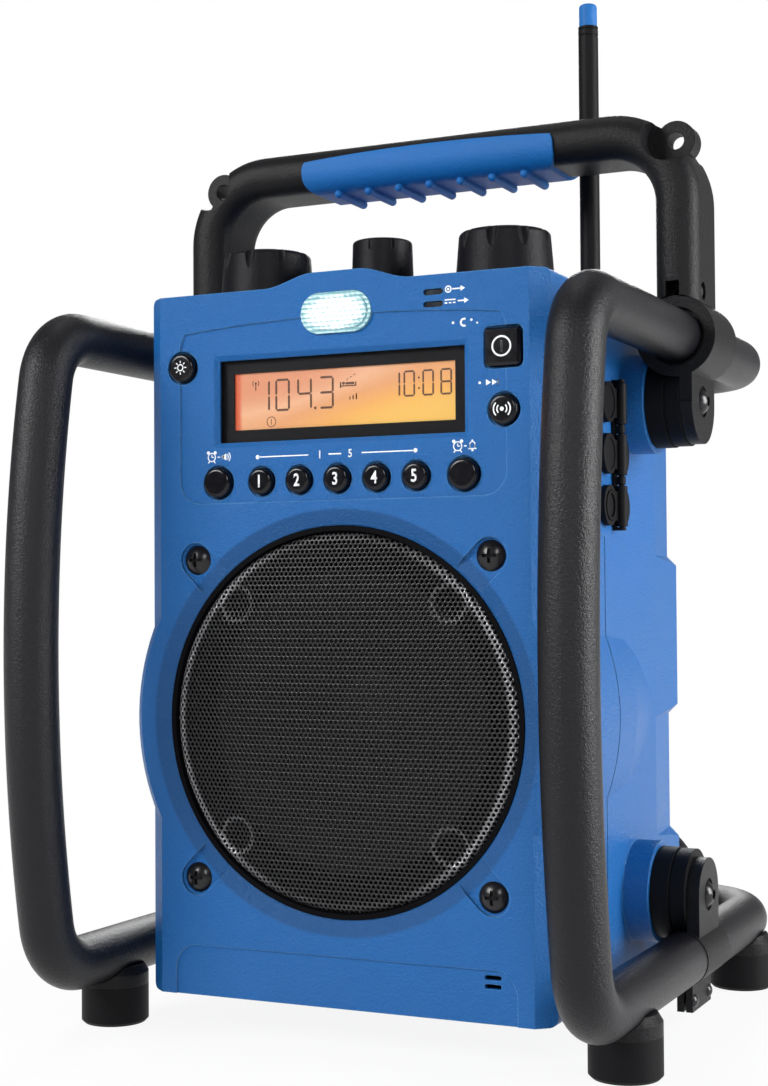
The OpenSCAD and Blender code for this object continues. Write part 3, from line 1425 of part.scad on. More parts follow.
module foot_saddle(y) {
    difference() {
        union() {
            rod_z(side_x, y, foot_h, low_z - tube_r + 2.4, foot_d / 2);
            translate([side_x, y, low_z - tube_r + 2.4]) cylinder(h = 3, r1 = foot_d / 2, r2 = foot_d / 2 - 1.8);
        }
        rod_y(side_x, y - foot_d, min(y + foot_d, rear_bar_y - rear_bend_r + play), low_z, tube_r + slip);
        translate([side_x - rear_bend_r, rear_bar_y - rear_bend_r, low_z]) rotate_extrude(angle = 90)
            translate([rear_bend_r, 0]) circle(tube_r + slip + 0.02);
        rod_z(side_x, y, foot_h - 1, low_z, 2 + slip);
    }
}

module foot_saddles() color(BLACK) both_sides() for (y = foot_ys) foot_saddle(y);

module rubber_foot(y) {
    difference() {
        union() {
            rod_z(side_x, y, 1.2, foot_h, foot_d / 2);
            translate([side_x, y, 0]) cylinder(h = 1.2, r1 = foot_d / 2 - 1.2, r2 = foot_d / 2);
        }
        rod_z(side_x, y, -1, 5.2, 4.4);
        rod_z(side_x, y, 0, foot_h + 1, 2 + slip);
    }
}

module rubber_feet() color(RUBBER) both_sides() for (y = foot_ys) rubber_foot(y);

module cord_posts() color(BLACK) both_sides() {
    y1 = rear_y + cord_stem_l;
    rod_y(cord_post_x, rear_y, y1, cord_post_z, cord_stem_r);
    rod_y(cord_post_x, rear_y, rear_y + 2, cord_post_z, cord_stem_r + 4);
    revolve_y(cord_post_x, cord_post_z) {
        translate([0, y1]) square([cord_disc_r - 2, cord_disc_t]);
        translate([0, y1 + 2]) square([cord_disc_r, cord_disc_t - 4]);
        for (y = [y1 + 2, y1 + cord_disc_t - 2]) translate([cord_disc_r - 2, y]) circle(2);
    }
}

// ---------- Drawing ----------

front_shell();
rear_shell();
shell_seal();
battery_door();
door_hinge_pin();
door_thumbscrew();
battery_cells();
battery_contacts();
display_window();
display_frame();
display_panel();
lamp_lens();
lamp_reflector();
indicator_lenses();
speaker_grille();
grille_seat();
speaker_basket();
speaker_surround();
speaker_cone();
speaker_magnet();
case_screws();
volume_knob();
centre_knob();
tuning_knob();
volume_shaft();
centre_shaft();
tuning_shaft();
encoders();
power_button();
round_button(side_button_x, band_z, round_d);  // band_button
round_button(-side_button_x, power_z, round_d);  // lamp_button
round_button(-alarm_x, row_z, alarm_d);  // left_alarm_button
round_button(alarm_x, row_z, alarm_d);  // right_alarm_button
preset_button(1);  // preset_button_1
preset_button(2);  // preset_button_2
preset_button(3);  // preset_button_3
preset_button(4);  // preset_button_4
preset_button(5);  // preset_button_5
circuit_boards();
cover_hinge();
socket_cover(0);  // socket_cover_1
socket_cover(1);  // socket_cover_2
socket_cover(2);  // socket_cover_3
side_sockets();
aerial_base();
aerial_rod();
aerial_tip();
left_hoop();
right_hoop();
upper_rear_bar();
lower_rear_bar();
handle_frame();
handle_grip();
upper_clamps();
lower_clamps();
rubber_buffers();
cage_screws();
foot_saddles();
rubber_feet();
cord_posts();
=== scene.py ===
import json
import math

import bpy
from mathutils import Matrix, Vector

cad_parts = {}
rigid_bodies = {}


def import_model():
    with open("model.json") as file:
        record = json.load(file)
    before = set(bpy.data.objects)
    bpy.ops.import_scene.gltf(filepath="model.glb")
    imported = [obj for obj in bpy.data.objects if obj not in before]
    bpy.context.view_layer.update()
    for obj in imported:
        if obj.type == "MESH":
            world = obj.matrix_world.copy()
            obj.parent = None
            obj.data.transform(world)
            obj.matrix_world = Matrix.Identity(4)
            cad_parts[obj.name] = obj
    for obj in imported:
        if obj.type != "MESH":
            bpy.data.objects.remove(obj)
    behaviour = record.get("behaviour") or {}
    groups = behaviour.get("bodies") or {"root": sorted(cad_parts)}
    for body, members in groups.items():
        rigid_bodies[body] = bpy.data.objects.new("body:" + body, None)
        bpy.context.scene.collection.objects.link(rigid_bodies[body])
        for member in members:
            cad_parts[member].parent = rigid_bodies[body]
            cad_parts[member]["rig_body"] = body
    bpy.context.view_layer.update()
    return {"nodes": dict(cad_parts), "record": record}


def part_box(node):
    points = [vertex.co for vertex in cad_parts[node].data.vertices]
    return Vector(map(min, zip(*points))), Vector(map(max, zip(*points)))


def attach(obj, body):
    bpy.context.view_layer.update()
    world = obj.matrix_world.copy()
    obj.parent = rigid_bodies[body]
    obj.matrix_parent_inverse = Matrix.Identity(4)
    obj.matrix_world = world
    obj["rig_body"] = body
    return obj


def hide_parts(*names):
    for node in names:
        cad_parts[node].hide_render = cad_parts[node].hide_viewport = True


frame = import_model()
nodes = frame["nodes"]
scene = bpy.context.scene
scene.view_settings.view_transform = "Standard"

MM_PER_M = 1000
MM = 1 / MM_PER_M
WHITE = (1, 1, 1)

# Heights above the floor, in metres
SPEAKER_Z, LAMP_Z = 0.11933, 0.26873

# ---------------------------------------------------------------- camera and lamps

CAMERA_PLACE = (0.2967, -0.6707, 0.1655)
CAMERA_YAW, CAMERA_PITCH, CAMERA_ROLL = 25.165, 1.6267, -0.3665
LENS_MM, SENSOR_MM, NEAR_CLIP = 60.29, 36, 0.01

# name: place, target, width and height, watts
LAMPS = {
    "key": ((-1.0, -1.38, 1.0), (0, 0, 0.16), (0.9, 0.7), 29),
    "front_fill": ((0.8, -1.5, 0.9), (0.05, 0, 0.16), (0.3, 0.6), 8),
    "right_side": ((1.45, 0.28, 0.5), (0.05, 0, 0.18), (0.6, 0.9), 29),
    "back_fill": ((-0.6, 1.65, 1.0), (0, 0, 0.16), (0.9, 0.6), 17),
    "top": ((-0.1, 0.1, 1.5), (0, 0, 0.25), (0.5, 0.9), 2),
}


def aim_camera():
    """The camera stands to the right of the front and below its middle, and looks left and slightly up."""
    yaw, pitch, roll = (math.radians(turn) for turn in (CAMERA_YAW, CAMERA_PITCH, CAMERA_ROLL))
    ahead = Vector((-math.sin(yaw) * math.cos(pitch), math.cos(yaw) * math.cos(pitch), math.sin(pitch)))
    right = Vector((math.cos(yaw), math.sin(yaw), 0))
    up = right.cross(ahead)
    across = right * math.cos(roll) + up * math.sin(roll)
    upward = up * math.cos(roll) - right * math.sin(roll)
    turn = Matrix((across, upward, -ahead)).transposed().to_4x4()
    bpy.ops.object.camera_add(location=(0, 0, 0))
    camera = bpy.context.object
    camera.matrix_world = Matrix.Translation(CAMERA_PLACE) @ turn
    camera.data.sensor_width = SENSOR_MM
    camera.data.sensor_fit = "AUTO"
    camera.data.lens = LENS_MM
    camera.data.clip_start = NEAR_CLIP
    scene.camera = camera


def soft_lamp(name, place, target, size, watts):
    bpy.ops.object.light_add(type="AREA", location=place)
    lamp = bpy.context.object
    lamp.name = name
    lamp.data.shape = "RECTANGLE"
    lamp.data.size, lamp.data.size_y = size
    lamp.data.energy = watts
    lamp.rotation_euler = (Vector(target) - Vector(place)).to_track_quat("-Z", "Y").to_euler()


# ---------------------------------------------------------------- shader bench

def arithmetic(operation, swapped=False):
    """A method that works on two values with a maths node."""
    def method(self, other):
        pair = (other, self) if swapped else (self, other)
        return self.bench.node("ShaderNodeMath", {"operation": operation}, dict(enumerate(pair)))
    return method


class Wire:
    """An output socket that can be used in sums."""

    def __init__(self, bench, socket):
        self.bench, self.socket = bench, socket

    def __abs__(self):
        return self.bench.node("ShaderNodeMath", {"operation": "ABSOLUTE"}, {0: self})

    __add__ = arithmetic("ADD")
    __sub__ = arithmetic("SUBTRACT")
    __rsub__ = arithmetic("SUBTRACT", swapped=True)
    __mul__ = arithmetic("MULTIPLY")
    __truediv__ = arithmetic("DIVIDE")
    __pow__ = arithmetic("POWER")


class Bench:
    """A node tree under construction."""

    def __init__(self, tree, coordinates):
        self.tree = tree
        self.place = self.node("ShaderNodeTexCoord", {}, {}, coordinates)

    def node(self, kind, settings, values, output=0):
        made = self.tree.nodes.new(kind)
        for key, value in settings.items():
            if key == "stops":
                self.fill_ramp(made.color_ramp, value)
            else:
                setattr(made, key, value)
        for key, value in values.items():
            self.feed(made.inputs[key], value)
        return Wire(self, made.outputs[output])

    def fill_ramp(self, ramp, stops):
        while len(ramp.elements) > 1:
            ramp.elements.remove(ramp.elements[0])
        for i, (at, colour) in enumerate(stops):
            stop = ramp.elements[0] if i == 0 else ramp.elements.new(at)
            stop.position = at
            stop.color = (*colour, 1)

    def feed(self, socket, value):
        if isinstance(value, Wire):
            self.tree.links.new(value.socket, socket)
        elif socket.type == "RGBA":
            socket.default_value = (*value, 1)
        else:
            socket.default_value = value

    def spread(self, value, low, high, to_low=0.0, to_high=1.0):
        """Eases from one value to another between low and high."""
        values = {"Value": value, "From Min": low, "From Max": high, "To Min": to_low, "To Max": to_high}
        return self.node("ShaderNodeMapRange", {"interpolation_type": "SMOOTHSTEP"}, values)

    def axis(self, letter):
        return self.node("ShaderNodeSeparateXYZ", {}, {0: self.place}, letter)

    def ray(self, *kinds):
        """One where the ray is of a kind that is named."""
        seen = [self.node("ShaderNodeLightPath", {}, {}, "Is %s Ray" % kind) for kind in kinds]
        while len(seen) > 1:
            seen[:2] = [self.node("ShaderNodeMath", {"operation": "MAXIMUM"}, {0: seen[0], 1: seen[1]})]
        return seen[0]


class Finish(Bench):
    """A material under construction."""

    # The part of a noise that shows, and how far a rounded normal is off the true one at an edge
    SHOWS = (0.3, 0.7)
    EDGE = (0.04, 0.3)

    def __init__(self, name):
        self.material = bpy.data.materials.new(name)
        self.material.use_nodes = True
        super().__init__(self.material.node_tree, "Object")
        self.surface = self.tree.nodes["Principled BSDF"]

    def set(self, **values):
        for key, value in values.items():
            self.feed(self.surface.inputs[key.replace("_", " ")], value)
        return self.material

    def noise(self, scale, detail=2, roughness=0.5, place=None):
        values = {"Vector": place or self.place, "Scale": scale, "Detail": detail, "Roughness": roughness}
        return self.node("ShaderNodeTexNoise", {}, values, "Fac")

    def vary(self, noise, low=0.0, high=1.0):
        """Goes with a noise from low to high."""
        return self.spread(noise, *self.SHOWS, low, high)

    def blend(self, factor, first, second):
        return self.node("ShaderNodeMix", {"data_type": "RGBA"}, {0: factor, 6: first, 7: second}, 2)

    def rounded(self, edge_mm):
        """The surface normal as if every edge had a small radius."""
        return self.node("ShaderNodeBevel", {"samples": 5}, {"Radius": edge_mm / MM_PER_M}, "Normal")

    def edge_line(self, rounded):
        """A narrow line along the edges, where the rounded normal leaves the true one."""
        true = self.node("ShaderNodeNewGeometry", {}, {}, "Normal")
        same = self.node("ShaderNodeVectorMath", {"operation": "DOT_PRODUCT"}, {0: rounded, 1: true}, "Value")
        return self.spread(1 - same, *self.EDGE)

    def relief(self, height, depth_mm, rounded=None):
        """A fine surface relief, over edges that may look rounded."""
        values = {"Height": height, "Distance": depth_mm / MM_PER_M, "Strength": 1.0}
        if rounded:
            values["Normal"] = rounded
        self.feed(self.surface.inputs["Normal"], self.node("ShaderNodeBump", {}, values, "Normal"))


def srgb(r, g, b):
    return tuple((c / 255 / 12.92) if c <= 10 else ((c / 255 + 0.055) / 1.055) ** 2.4 for c in (r, g, b))


def times(colour, factor):
    return tuple(c * factor for c in colour)


def shared(first, second, share):
    """A sum in which the first value has a share, and the second the rest."""
    return first * share + second * (1 - share)


# ---------------------------------------------------------------- finishes of plastic, rubber and metal

# How fine the noises are: two go with the grain's size, and two are the same on every surface
COARSE_GRAIN, FINE_GRAIN, CLOUD_SCALE, HIGHLIGHT_AND_WEAR_SCALE = 0.35, 1.1, 14, 160
# The first noise's share where two are added
CLOUD_IN_SHADE, COARSE_IN_GLOSS, COARSE_IN_RELIEF = 0.6, 0.5, 0.65
# How the gloss swings, what the paler edges take from it, and what the painted edge highlight (partly wear)
# and the painted shade do to a colour
GLOSS_SWING, EDGE_HIGHLIGHT_GLOSS, EDGE_HIGHLIGHT_GAIN, EDGE_HIGHLIGHT_LIFT, SHADED = 0.07, 0.1, 1.5, 0.02, 0.4


def grained(name, colour, roughness, grain_mm, depth_mm, tint=0.12, edge_highlight_and_wear=0.25, edge_highlight_colour=None, coat=0.0,
            specular=0.5, edge_mm=0.4, painted_shade=None):
    """Moulded or coated surface with a fine eroded grain, uneven gloss, paler edges that are partly wear and
    partly a painted highlight, and painted shade where a mask is given.
    """
    f = Finish(name)
    coarse = f.noise(COARSE_GRAIN / grain_mm * MM_PER_M, detail=3, roughness=0.6)
    fine = f.noise(FINE_GRAIN / grain_mm * MM_PER_M)
    cloud = f.noise(CLOUD_SCALE, detail=3)
    shade = f.spread(shared(cloud, coarse, CLOUD_IN_SHADE), 0.25, 0.75)
    base = f.blend(shade, times(colour, 1 - tint), times(colour, 1 + tint))
    dull, glossy = roughness + GLOSS_SWING, roughness - GLOSS_SWING
    gloss = f.spread(shared(coarse, cloud, COARSE_IN_GLOSS), 0.2, 0.8, glossy, dull)
    rounded = f.rounded(edge_mm) if edge_mm else None
    # Painted highlight, partly wear: a paler, slightly glossier line along the edges, made patchy by a noise
    if edge_mm:
        patchy = f.spread(f.noise(HIGHLIGHT_AND_WEAR_SCALE, detail=3), 0.3, 0.65, edge_highlight_and_wear / 2, edge_highlight_and_wear)
        edge = f.edge_line(rounded) * patchy
        base = f.blend(edge, base, edge_highlight_colour or tuple(c * EDGE_HIGHLIGHT_GAIN + EDGE_HIGHLIGHT_LIFT for c in colour))
        gloss = gloss - edge * EDGE_HIGHLIGHT_GLOSS
    # Painted shade: where the given mask is set, the colour darkens towards a shaded copy of itself
    if painted_shade:
        base = f.blend(painted_shade(f), base, times(colour, SHADED))
    f.relief(shared(coarse, fine, COARSE_IN_RELIEF), depth_mm, rounded)
    return f.set(Base_Color=base, Roughness=gloss, Coat_Weight=coat, Specular_IOR_Level=specular)


def metal(name, colour, roughness):
    """Bare metal with fine scratches and a cloudy gloss."""
    swing = 0.08
    f = Finish(name)
    streak = f.noise(900, detail=4, roughness=0.7)
    cloud = f.noise(60, detail=3)
    f.relief(streak, depth_mm=0.01)
    return f.set(Base_Color=f.blend(f.vary(cloud), times(colour, 0.85), colour), Metallic=1.0,
                 Roughness=f.vary(shared(streak, cloud, 0.5), roughness - swing, roughness + swing))


def speckled(name, scale, depth_mm, colours, roughness, detail=3, lightest=0.7, **more):
    """An even coat with a faint speckle in its colour and gloss."""
    f = Finish(name)
    speck = f.noise(scale, detail)
    f.relief(speck, depth_mm)
    shade = f.spread(speck, f.SHOWS[0], lightest)
    return f.set(Base_Color=f.blend(shade, *colours), Roughness=f.vary(speck, *roughness), **more)


def from_speaker(f):
    """Distance from the speaker's axis."""
    side, rise = f.axis("X"), f.axis("Z") - SPEAKER_Z
    return (side * side + rise * rise) ** 0.5


def ring_shade(f):
    """The sloping ring round the speaker lies in shade."""
    rim_outer, rim_inner = 0.0785, 0.0768
    slope_front, slope_back, shade = -0.074, -0.070, 0.55
    on_ring = f.spread(from_speaker(f), rim_outer, rim_inner)
    return on_ring * (1 - f.spread(f.axis("Y"), slope_front, slope_back)) * shade


def struck_screw():
    """A domed head that is glossy outside, with painted shade in its cross recess, where the coat fades out.
    """
    recess_depth, shut_in, open_out, most_coat = 0.004, 0.6, 0.95, 0.6
    f = Finish("screw_black")
    # Painted shade: ambient occlusion takes the coat out of the cross recess, so that it renders darker
    open_air = f.node("ShaderNodeAmbientOcclusion", {"samples": 6}, {"Distance": recess_depth}, "AO")
    speck = f.noise(900, detail=3)
    f.relief(speck, depth_mm=0.004, rounded=f.rounded(edge_mm=0.12))
    return f.set(Base_Color=f.blend(f.vary(speck), (0.004, 0.004, 0.005), (0.008, 0.008, 0.010)),
                 Roughness=f.vary(speck, 0.3, 0.4), Specular_IOR_Level=0.12,
                 Coat_Weight=f.spread(open_air, shut_in, open_out) * most_coat, Coat_Roughness=0.22)


def painted_grille():
    """Black paint over steel, with a painted highlight of bare-looking steel on the sides of the curled edge
    and round the dimples.
    """
    curl_from, curl_to = 0.0650, 0.0672
    # Painted highlight: the curl shows bright steel more at its sides than at its top and bottom
    above, beside, glint_above, glint_beside = 0.3, 0.85, 0.12, 1.0
    dimple_at, rim_in, rim_out, rim_glint = 0.0431, (0.0052, 0.0062), (0.0068, 0.0076), 0.3
    f = Finish("grille_coat")
    away, speck = from_speaker(f), f.noise(1500)
    side, rise = abs(f.axis("X")), abs(f.axis("Z") - SPEAKER_Z)
    curl = f.spread(away, curl_from, curl_to) * f.spread(side / away, above, beside, glint_above, glint_beside)
    dx, dz = side - dimple_at, rise - dimple_at
    dimple = (dx * dx + dz * dz) ** 0.5
    # Painted highlight round each dimple
    rim = f.spread(dimple, *rim_in) * (1 - f.spread(dimple, *rim_out)) * rim_glint
    painted_glint = (curl + rim) * f.spread(speck, 0.2, 0.6, 0.7, 1.0)
    f.relief(speck, depth_mm=0.006)
    return f.set(Base_Color=f.blend(painted_glint, (0.005, 0.005, 0.006), (0.30, 0.30, 0.31)), Metallic=painted_glint * 0.8,
                 Roughness=f.vary(speck, 0.26, 0.36), Specular_IOR_Level=0.45)


def cell_jacket():
    """A dark sleeve that is copper-coloured towards the cell's outer end."""
    split_from, split_to = 0.0385, 0.039
    f = Finish("cell_jacket")
    split = f.spread(abs(f.axis("X")), split_from, split_to)
    dust = f.noise(300, detail=3)
    f.relief(dust, depth_mm=0.01)
    return f.set(Base_Color=f.blend(split, (0.016, 0.017, 0.02), (0.45, 0.30, 0.09)), Metallic=0.55,
                 Roughness=f.vary(dust, 0.24, 0.36))


# ---------------------------------------------------------------- finishes of the display and the lamp

def clear_glazing():
    f = Finish("display_glazing")
    smear = f.noise(40, detail=3)
    f.relief(smear, depth_mm=0.004)
    return f.set(Base_Color=(0.02, 0.02, 0.02), Roughness=f.vary(smear, 0.03, 0.08), Alpha=0.12, IOR=1.49)


def amber_panel():
    """The lit field: peach on the left, yellow at the lower right, with an orange band at its left end."""
    half_wide, low, high = 0.045, 0.227, 0.249
    band_from, band_to = -0.0440, -0.0418
    across_share, down_share, darkest, lightest = 0.62, 0.55, 0.1, 1.1
    whiter = 0.06
    ambers = [(0.0, srgb(218, 140, 98)), (0.25, srgb(232, 172, 130)), (0.5, srgb(226, 156, 98)),
              (0.8, srgb(236, 168, 78)), (1.0, srgb(240, 186, 80))]
    f = Finish("display_amber")
    across = f.spread(f.axis("X"), -half_wide, half_wide)
    down = 1 - f.spread(f.axis("Z"), low, high)
    glow = f.spread(across * across_share + down * down_share, darkest, lightest)
    field = f.node("ShaderNodeValToRGB", {"stops": ambers}, {0: glow}, "Color")
    colour = f.blend(1 - f.spread(f.axis("X"), band_from, band_to), field, srgb(212, 82, 22))
    grain = f.noise(2500, detail=1)
    lit = f.blend(f.vary(grain) * whiter, colour, WHITE)
    return f.set(Base_Color=lit, Roughness=f.vary(grain, 0.3, 0.4), Emission_Color=lit,
                 Emission_Strength=0.36)


def lamp_glass():
    """A clear lens: white light in its middle, streaked by the ribs in its back, and a green-grey edge."""
    row_pitch, row_shift, column_pitch, column_slant = 0.00085, 0.0001, 0.0011, 0.4
    row_light, column_light, frost_light = 0.45, 0.2, 0.75
    row_depth, column_depth, frost_depth = 0.6, 0.2, 0.4
    rim_from, rim_to, rim_flatness, rim_shade = 0.0048, 0.0074, 0.26, 0.55
    f = Finish("lamp_lens")
    side, rise = f.axis("X"), f.axis("Z") - LAMP_Z

    def ribs(value, pitch):
        return f.node("ShaderNodeMath", {"operation": "PINGPONG"}, {0: value, 1: pitch}) / pitch

    rows, columns = ribs(rise + row_shift, row_pitch), ribs(side + rise * column_slant, column_pitch)
    stretched = f.node("ShaderNodeMapping", {}, {"Vector": f.place, "Scale": (0.35, 1, 1)})
    frost = f.noise(1100, detail=3, roughness=0.6, place=stretched)
    rim = f.spread((side * side * rim_flatness + rise * rise) ** 0.5, rim_from, rim_to)
    streak = rows * row_light + columns * column_light + frost * frost_light
    glow = f.spread(streak - rim * rim_shade, 0.2, 0.95)
    colour = f.blend(glow, srgb(110, 156, 164), (0.86, 0.92, 0.92))
    f.relief(rows * row_depth + columns * column_depth + frost * frost_depth, depth_mm=0.3)
    return f.set(Base_Color=colour, Roughness=f.vary(frost, 0.08, 0.18), Emission_Color=colour,
                 Emission_Strength=0.28, Coat_Weight=0.5)


INK_BLACK = (0.004, 0.004, 0.006)
finishes = {
    # On the housing the pale edges are mostly a painted highlight, and the ring round the speaker gets
    # painted shade
    "housing": grained("housing_blue_grain", srgb(4, 90, 158), roughness=0.35, grain_mm=0.36, depth_mm=0.8,
                       tint=0.06, edge_highlight_and_wear=0.8, edge_highlight_colour=srgb(110, 168, 218), specular=0.34, edge_mm=0.8,
                       painted_shade=ring_shade),
    "seal_rubber": grained("seal_rubber", (0.002, 0.002, 0.003), roughness=0.7, grain_mm=0.3, depth_mm=0.02,
                           edge_highlight_and_wear=0.0, specular=0.06),
    "plated_steel": metal("plated_steel", (0.62, 0.62, 0.6), roughness=0.32),
    "black_plastic": grained("black_plastic", INK_BLACK, roughness=0.4, grain_mm=0.4, depth_mm=0.1,
                             specular=0.25),
    "grille_steel": painted_grille(),
    "speaker_cone": grained("cone_paper", (0.02, 0.02, 0.022), roughness=0.75, grain_mm=1.2, depth_mm=0.12,
                            tint=0.3),
    "magnet": metal("magnet_ferrite", (0.09, 0.09, 0.1), roughness=0.6),
    "black_screws": struck_screw(),
    "knob_plastic": grained("knob_black", INK_BLACK, roughness=0.45, grain_mm=0.4, depth_mm=0.2, edge_highlight_and_wear=0.3,
                            specular=0.14, edge_mm=0.5, edge_highlight_colour=(0.06, 0.06, 0.065)),
    "button_plastic": grained("button_gloss", (0.003, 0.003, 0.005), roughness=0.18, grain_mm=0.8,
                              depth_mm=0.003, edge_highlight_and_wear=0.05, specular=0.35, edge_mm=0.3),
    "circuit_board": grained("solder_mask", (0.01, 0.11, 0.04), roughness=0.3, grain_mm=1.5, depth_mm=0.02,
                             tint=0.3),
    "soft_rubber": grained("black_rubber", (0.003, 0.003, 0.004), roughness=0.55, grain_mm=0.3, depth_mm=0.1,
                           specular=0.14),
    "blue_rubber": grained("blue_rubber", srgb(12, 96, 166), roughness=0.5, grain_mm=0.36, depth_mm=0.4,
                           tint=0.08, edge_highlight_and_wear=0.2, edge_highlight_colour=srgb(60, 135, 200), specular=0.3),
    "cage_coating": grained("cage_charcoal", INK_BLACK, roughness=0.36, grain_mm=0.4, depth_mm=0.42,
                            specular=0.32, edge_mm=0),
    "handle_plastic": grained("handle_black", (0.006, 0.006, 0.007), roughness=0.42, grain_mm=0.42,
                              depth_mm=0.35, tint=0.15, edge_highlight_and_wear=0.2, edge_highlight_colour=(0.03, 0.03, 0.035),
                              specular=0.18, edge_mm=0.6),
    "bright_plastic": metal("lamp_metallising", (0.85, 0.85, 0.86), roughness=0.15),
    "smoked_lens": grained("smoked_lens", (0.012, 0.016, 0.022), roughness=0.14, grain_mm=1.0, depth_mm=0.003,
                           coat=0.6),
    "cells": cell_jacket(),
    "clear_window": clear_glazing(),
    "display": amber_panel(),
    "lamp_lens": lamp_glass(),
}
PRINT = speckled("white_print", scale=1500, depth_mm=0.004, roughness=(0.42, 0.55), lightest=0.75,
                 colours=((0.72, 0.74, 0.76), (0.9, 0.92, 0.94)))
SEGMENTS = speckled("display_segments", scale=900, depth_mm=0.002, roughness=(0.3, 0.42), detail=2,
                    colours=(srgb(104, 66, 44), srgb(122, 78, 50)))
MASK = speckled("display_mask", scale=1200, depth_mm=0.003, roughness=(0.35, 0.5),
                colours=(INK_BLACK, (0.006, 0.006, 0.008)), Specular_IOR_Level=0.15)
slots = {part["node"]: part["material_slot"] for part in frame["record"]["subparts"]}


def dress(thing, material):
    thing.data.materials.clear()
    thing.data.materials.append(material)


for name, thing in nodes.items():
    dress(thing, finishes[slots[name]])
dress(nodes["display_frame"], MASK)

# ---------------------------------------------------------------- hand tools

def put_down():
    if bpy.context.object and bpy.context.object.mode != "OBJECT":
        bpy.ops.object.mode_set(mode="OBJECT")
    bpy.ops.object.select_all(action="DESELECT")


def pick_up(thing):
    put_down()
    thing.select_set(True)
    bpy.context.view_layer.objects.active = thing


def settle(thing):
    """The place goes into the mesh, so that the object sits at the origin."""
    pick_up(thing)
    bpy.ops.object.transform_apply(location=True, rotation=True, scale=True)
    return thing


def body_of(node):
    return nodes[node]["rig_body"]


def fit(thing, name, body, material):
    thing.name = name
    dress(thing, material)
    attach(thing, body)


def use(thing, kind, **settings):
    """Adds one modifier and applies it."""
    pick_up(thing)
    tool = thing.modifiers.new(kind.lower(), kind)
    for key, value in settings.items():
        setattr(tool, key, value)
    bpy.ops.object.modifier_apply(modifier=tool.name)


def edit_all(kind):
    """Goes into edit mode with everything selected."""
    bpy.ops.object.mode_set(mode="EDIT")
    bpy.ops.mesh.select_mode(type=kind)
    bpy.ops.mesh.select_all(action="SELECT")


def choose(thing, wanted, kind="FACE"):
    """Goes into edit mode with only the faces or vertices that pass a test selected."""
    pick_up(thing)
    bpy.ops.object.mode_set(mode="EDIT")
    bpy.ops.mesh.select_mode(type=kind)
    bpy.ops.mesh.select_all(action="DESELECT")
    bpy.ops.object.mode_set(mode="OBJECT")
    for part in (thing.data.polygons if kind == "FACE" else thing.data.vertices):
        part.select = wanted(part.center if kind == "FACE" else part.co)
    bpy.ops.object.mode_set(mode="EDIT")


def cut_away(thing, unwanted):
    """Deletes the faces whose middles pass a test."""
    choose(thing, unwanted)
    bpy.ops.mesh.delete(type="FACE")
    bpy.ops.object.mode_set(mode="OBJECT")


def weld_all(gap):
    """Joins what all but touches, and turns every face outwards."""
    bpy.ops.mesh.select_all(action="SELECT")
    bpy.ops.mesh.remove_doubles(threshold=gap)
    bpy.ops.mesh.normals_make_consistent(inside=False)


def copy_of(thing, name):
    twin = bpy.data.objects.new(name, thing.data.copy())
    scene.collection.objects.link(twin)
    return twin


def joined(parts):
    put_down()
    for part in parts:
        part.select_set(True)
    bpy.context.view_layer.objects.active = parts[0]
    if len(parts) > 1:
        bpy.ops.object.join()
    return bpy.context.object


# ---------------------------------------------------------------- floor and room

FLOOR_SIZE, FLOOR_DROP = 30, 0.0001
FADE_FROM, FADE_TO, NEAR_WHITENESS = 0.14, 0.45, 0.9
ROOM_LEVEL, FRONT_LEVEL, BACK_LEVEL = 0.28, 0.06, 0.30
FRONT_END, BACK_END = -0.1, 0.8


def lay_floor():
    """A pale floor: it keeps the shadow near the radio and fades to white round it."""
    f = Finish("pale_floor")
    away = f.node("ShaderNodeVectorMath", {"operation": "LENGTH"}, {0: f.place}, "Value")
    fade = f.spread(away, FADE_FROM, FADE_TO, NEAR_WHITENESS, 1.0)
    white = f.node("ShaderNodeEmission", {}, {"Color": WHITE, "Strength": 1.0})
    both = {0: f.ray("Camera", "Glossy", "Transmission") * fade, 1: Wire(f, f.surface.outputs[0]), 2: white}
    f.feed(f.tree.nodes["Material Output"].inputs[0], f.node("ShaderNodeMixShader", {}, both))
    grey = f.blend(f.vary(f.noise(3, detail=3)), (0.80, 0.80, 0.80), (0.83, 0.83, 0.83))
    f.set(Base_Color=grey, Roughness=0.85)
    put_down()
    bpy.ops.mesh.primitive_plane_add(size=FLOOR_SIZE, location=(0, 0, -FLOOR_DROP))
    floor = settle(bpy.context.object)
    floor.name = "floor"
    dress(floor, f.material)


def light_room():
    """The camera sees white, and the radio an even dim light with a dark front and a pale back to mirror."""
    scene.world = bpy.data.worlds.new("pale_room")
    scene.world.use_nodes = True
    room = Bench(scene.world.node_tree, "Generated")
    mirrored = room.spread(room.axis("Y"), FRONT_END, BACK_END, FRONT_LEVEL, BACK_LEVEL)

    def either(factor, first, second):
        return room.node("ShaderNodeMix", {"data_type": "FLOAT"}, {0: factor, 2: first, 3: second})

    light = either(room.ray("Glossy"), ROOM_LEVEL, mirrored)
    sky = room.tree.nodes["Background"]
    room.feed(sky.inputs["Strength"], either(room.ray("Camera", "Transmission"), light, 1.0))
    room.feed(sky.inputs["Color"], WHITE)
    put_down()
    for name, facts in LAMPS.items():
        soft_lamp(name, *facts)


aim_camera()
lay_floor()
light_room()

# ---------------------------------------------------------------- cage tubes

# The tube's radius, the radius of its rolled end, and where the tubes' axes run, in metres
TUBE_R, ROLL, SIDE_X, HIGH_Z, LOW_Z = 0.00993, 0.002, 0.10375, 0.26353, 0.02693
HOOP_Y, BOW_R, BEND_R, HOOP_END_Y = -0.1226, 0.555, 0.021, 0.0053
BAR_START_Y, BAR_Y, BAR_BEND_R = 0.0347, 0.1226, 0.030
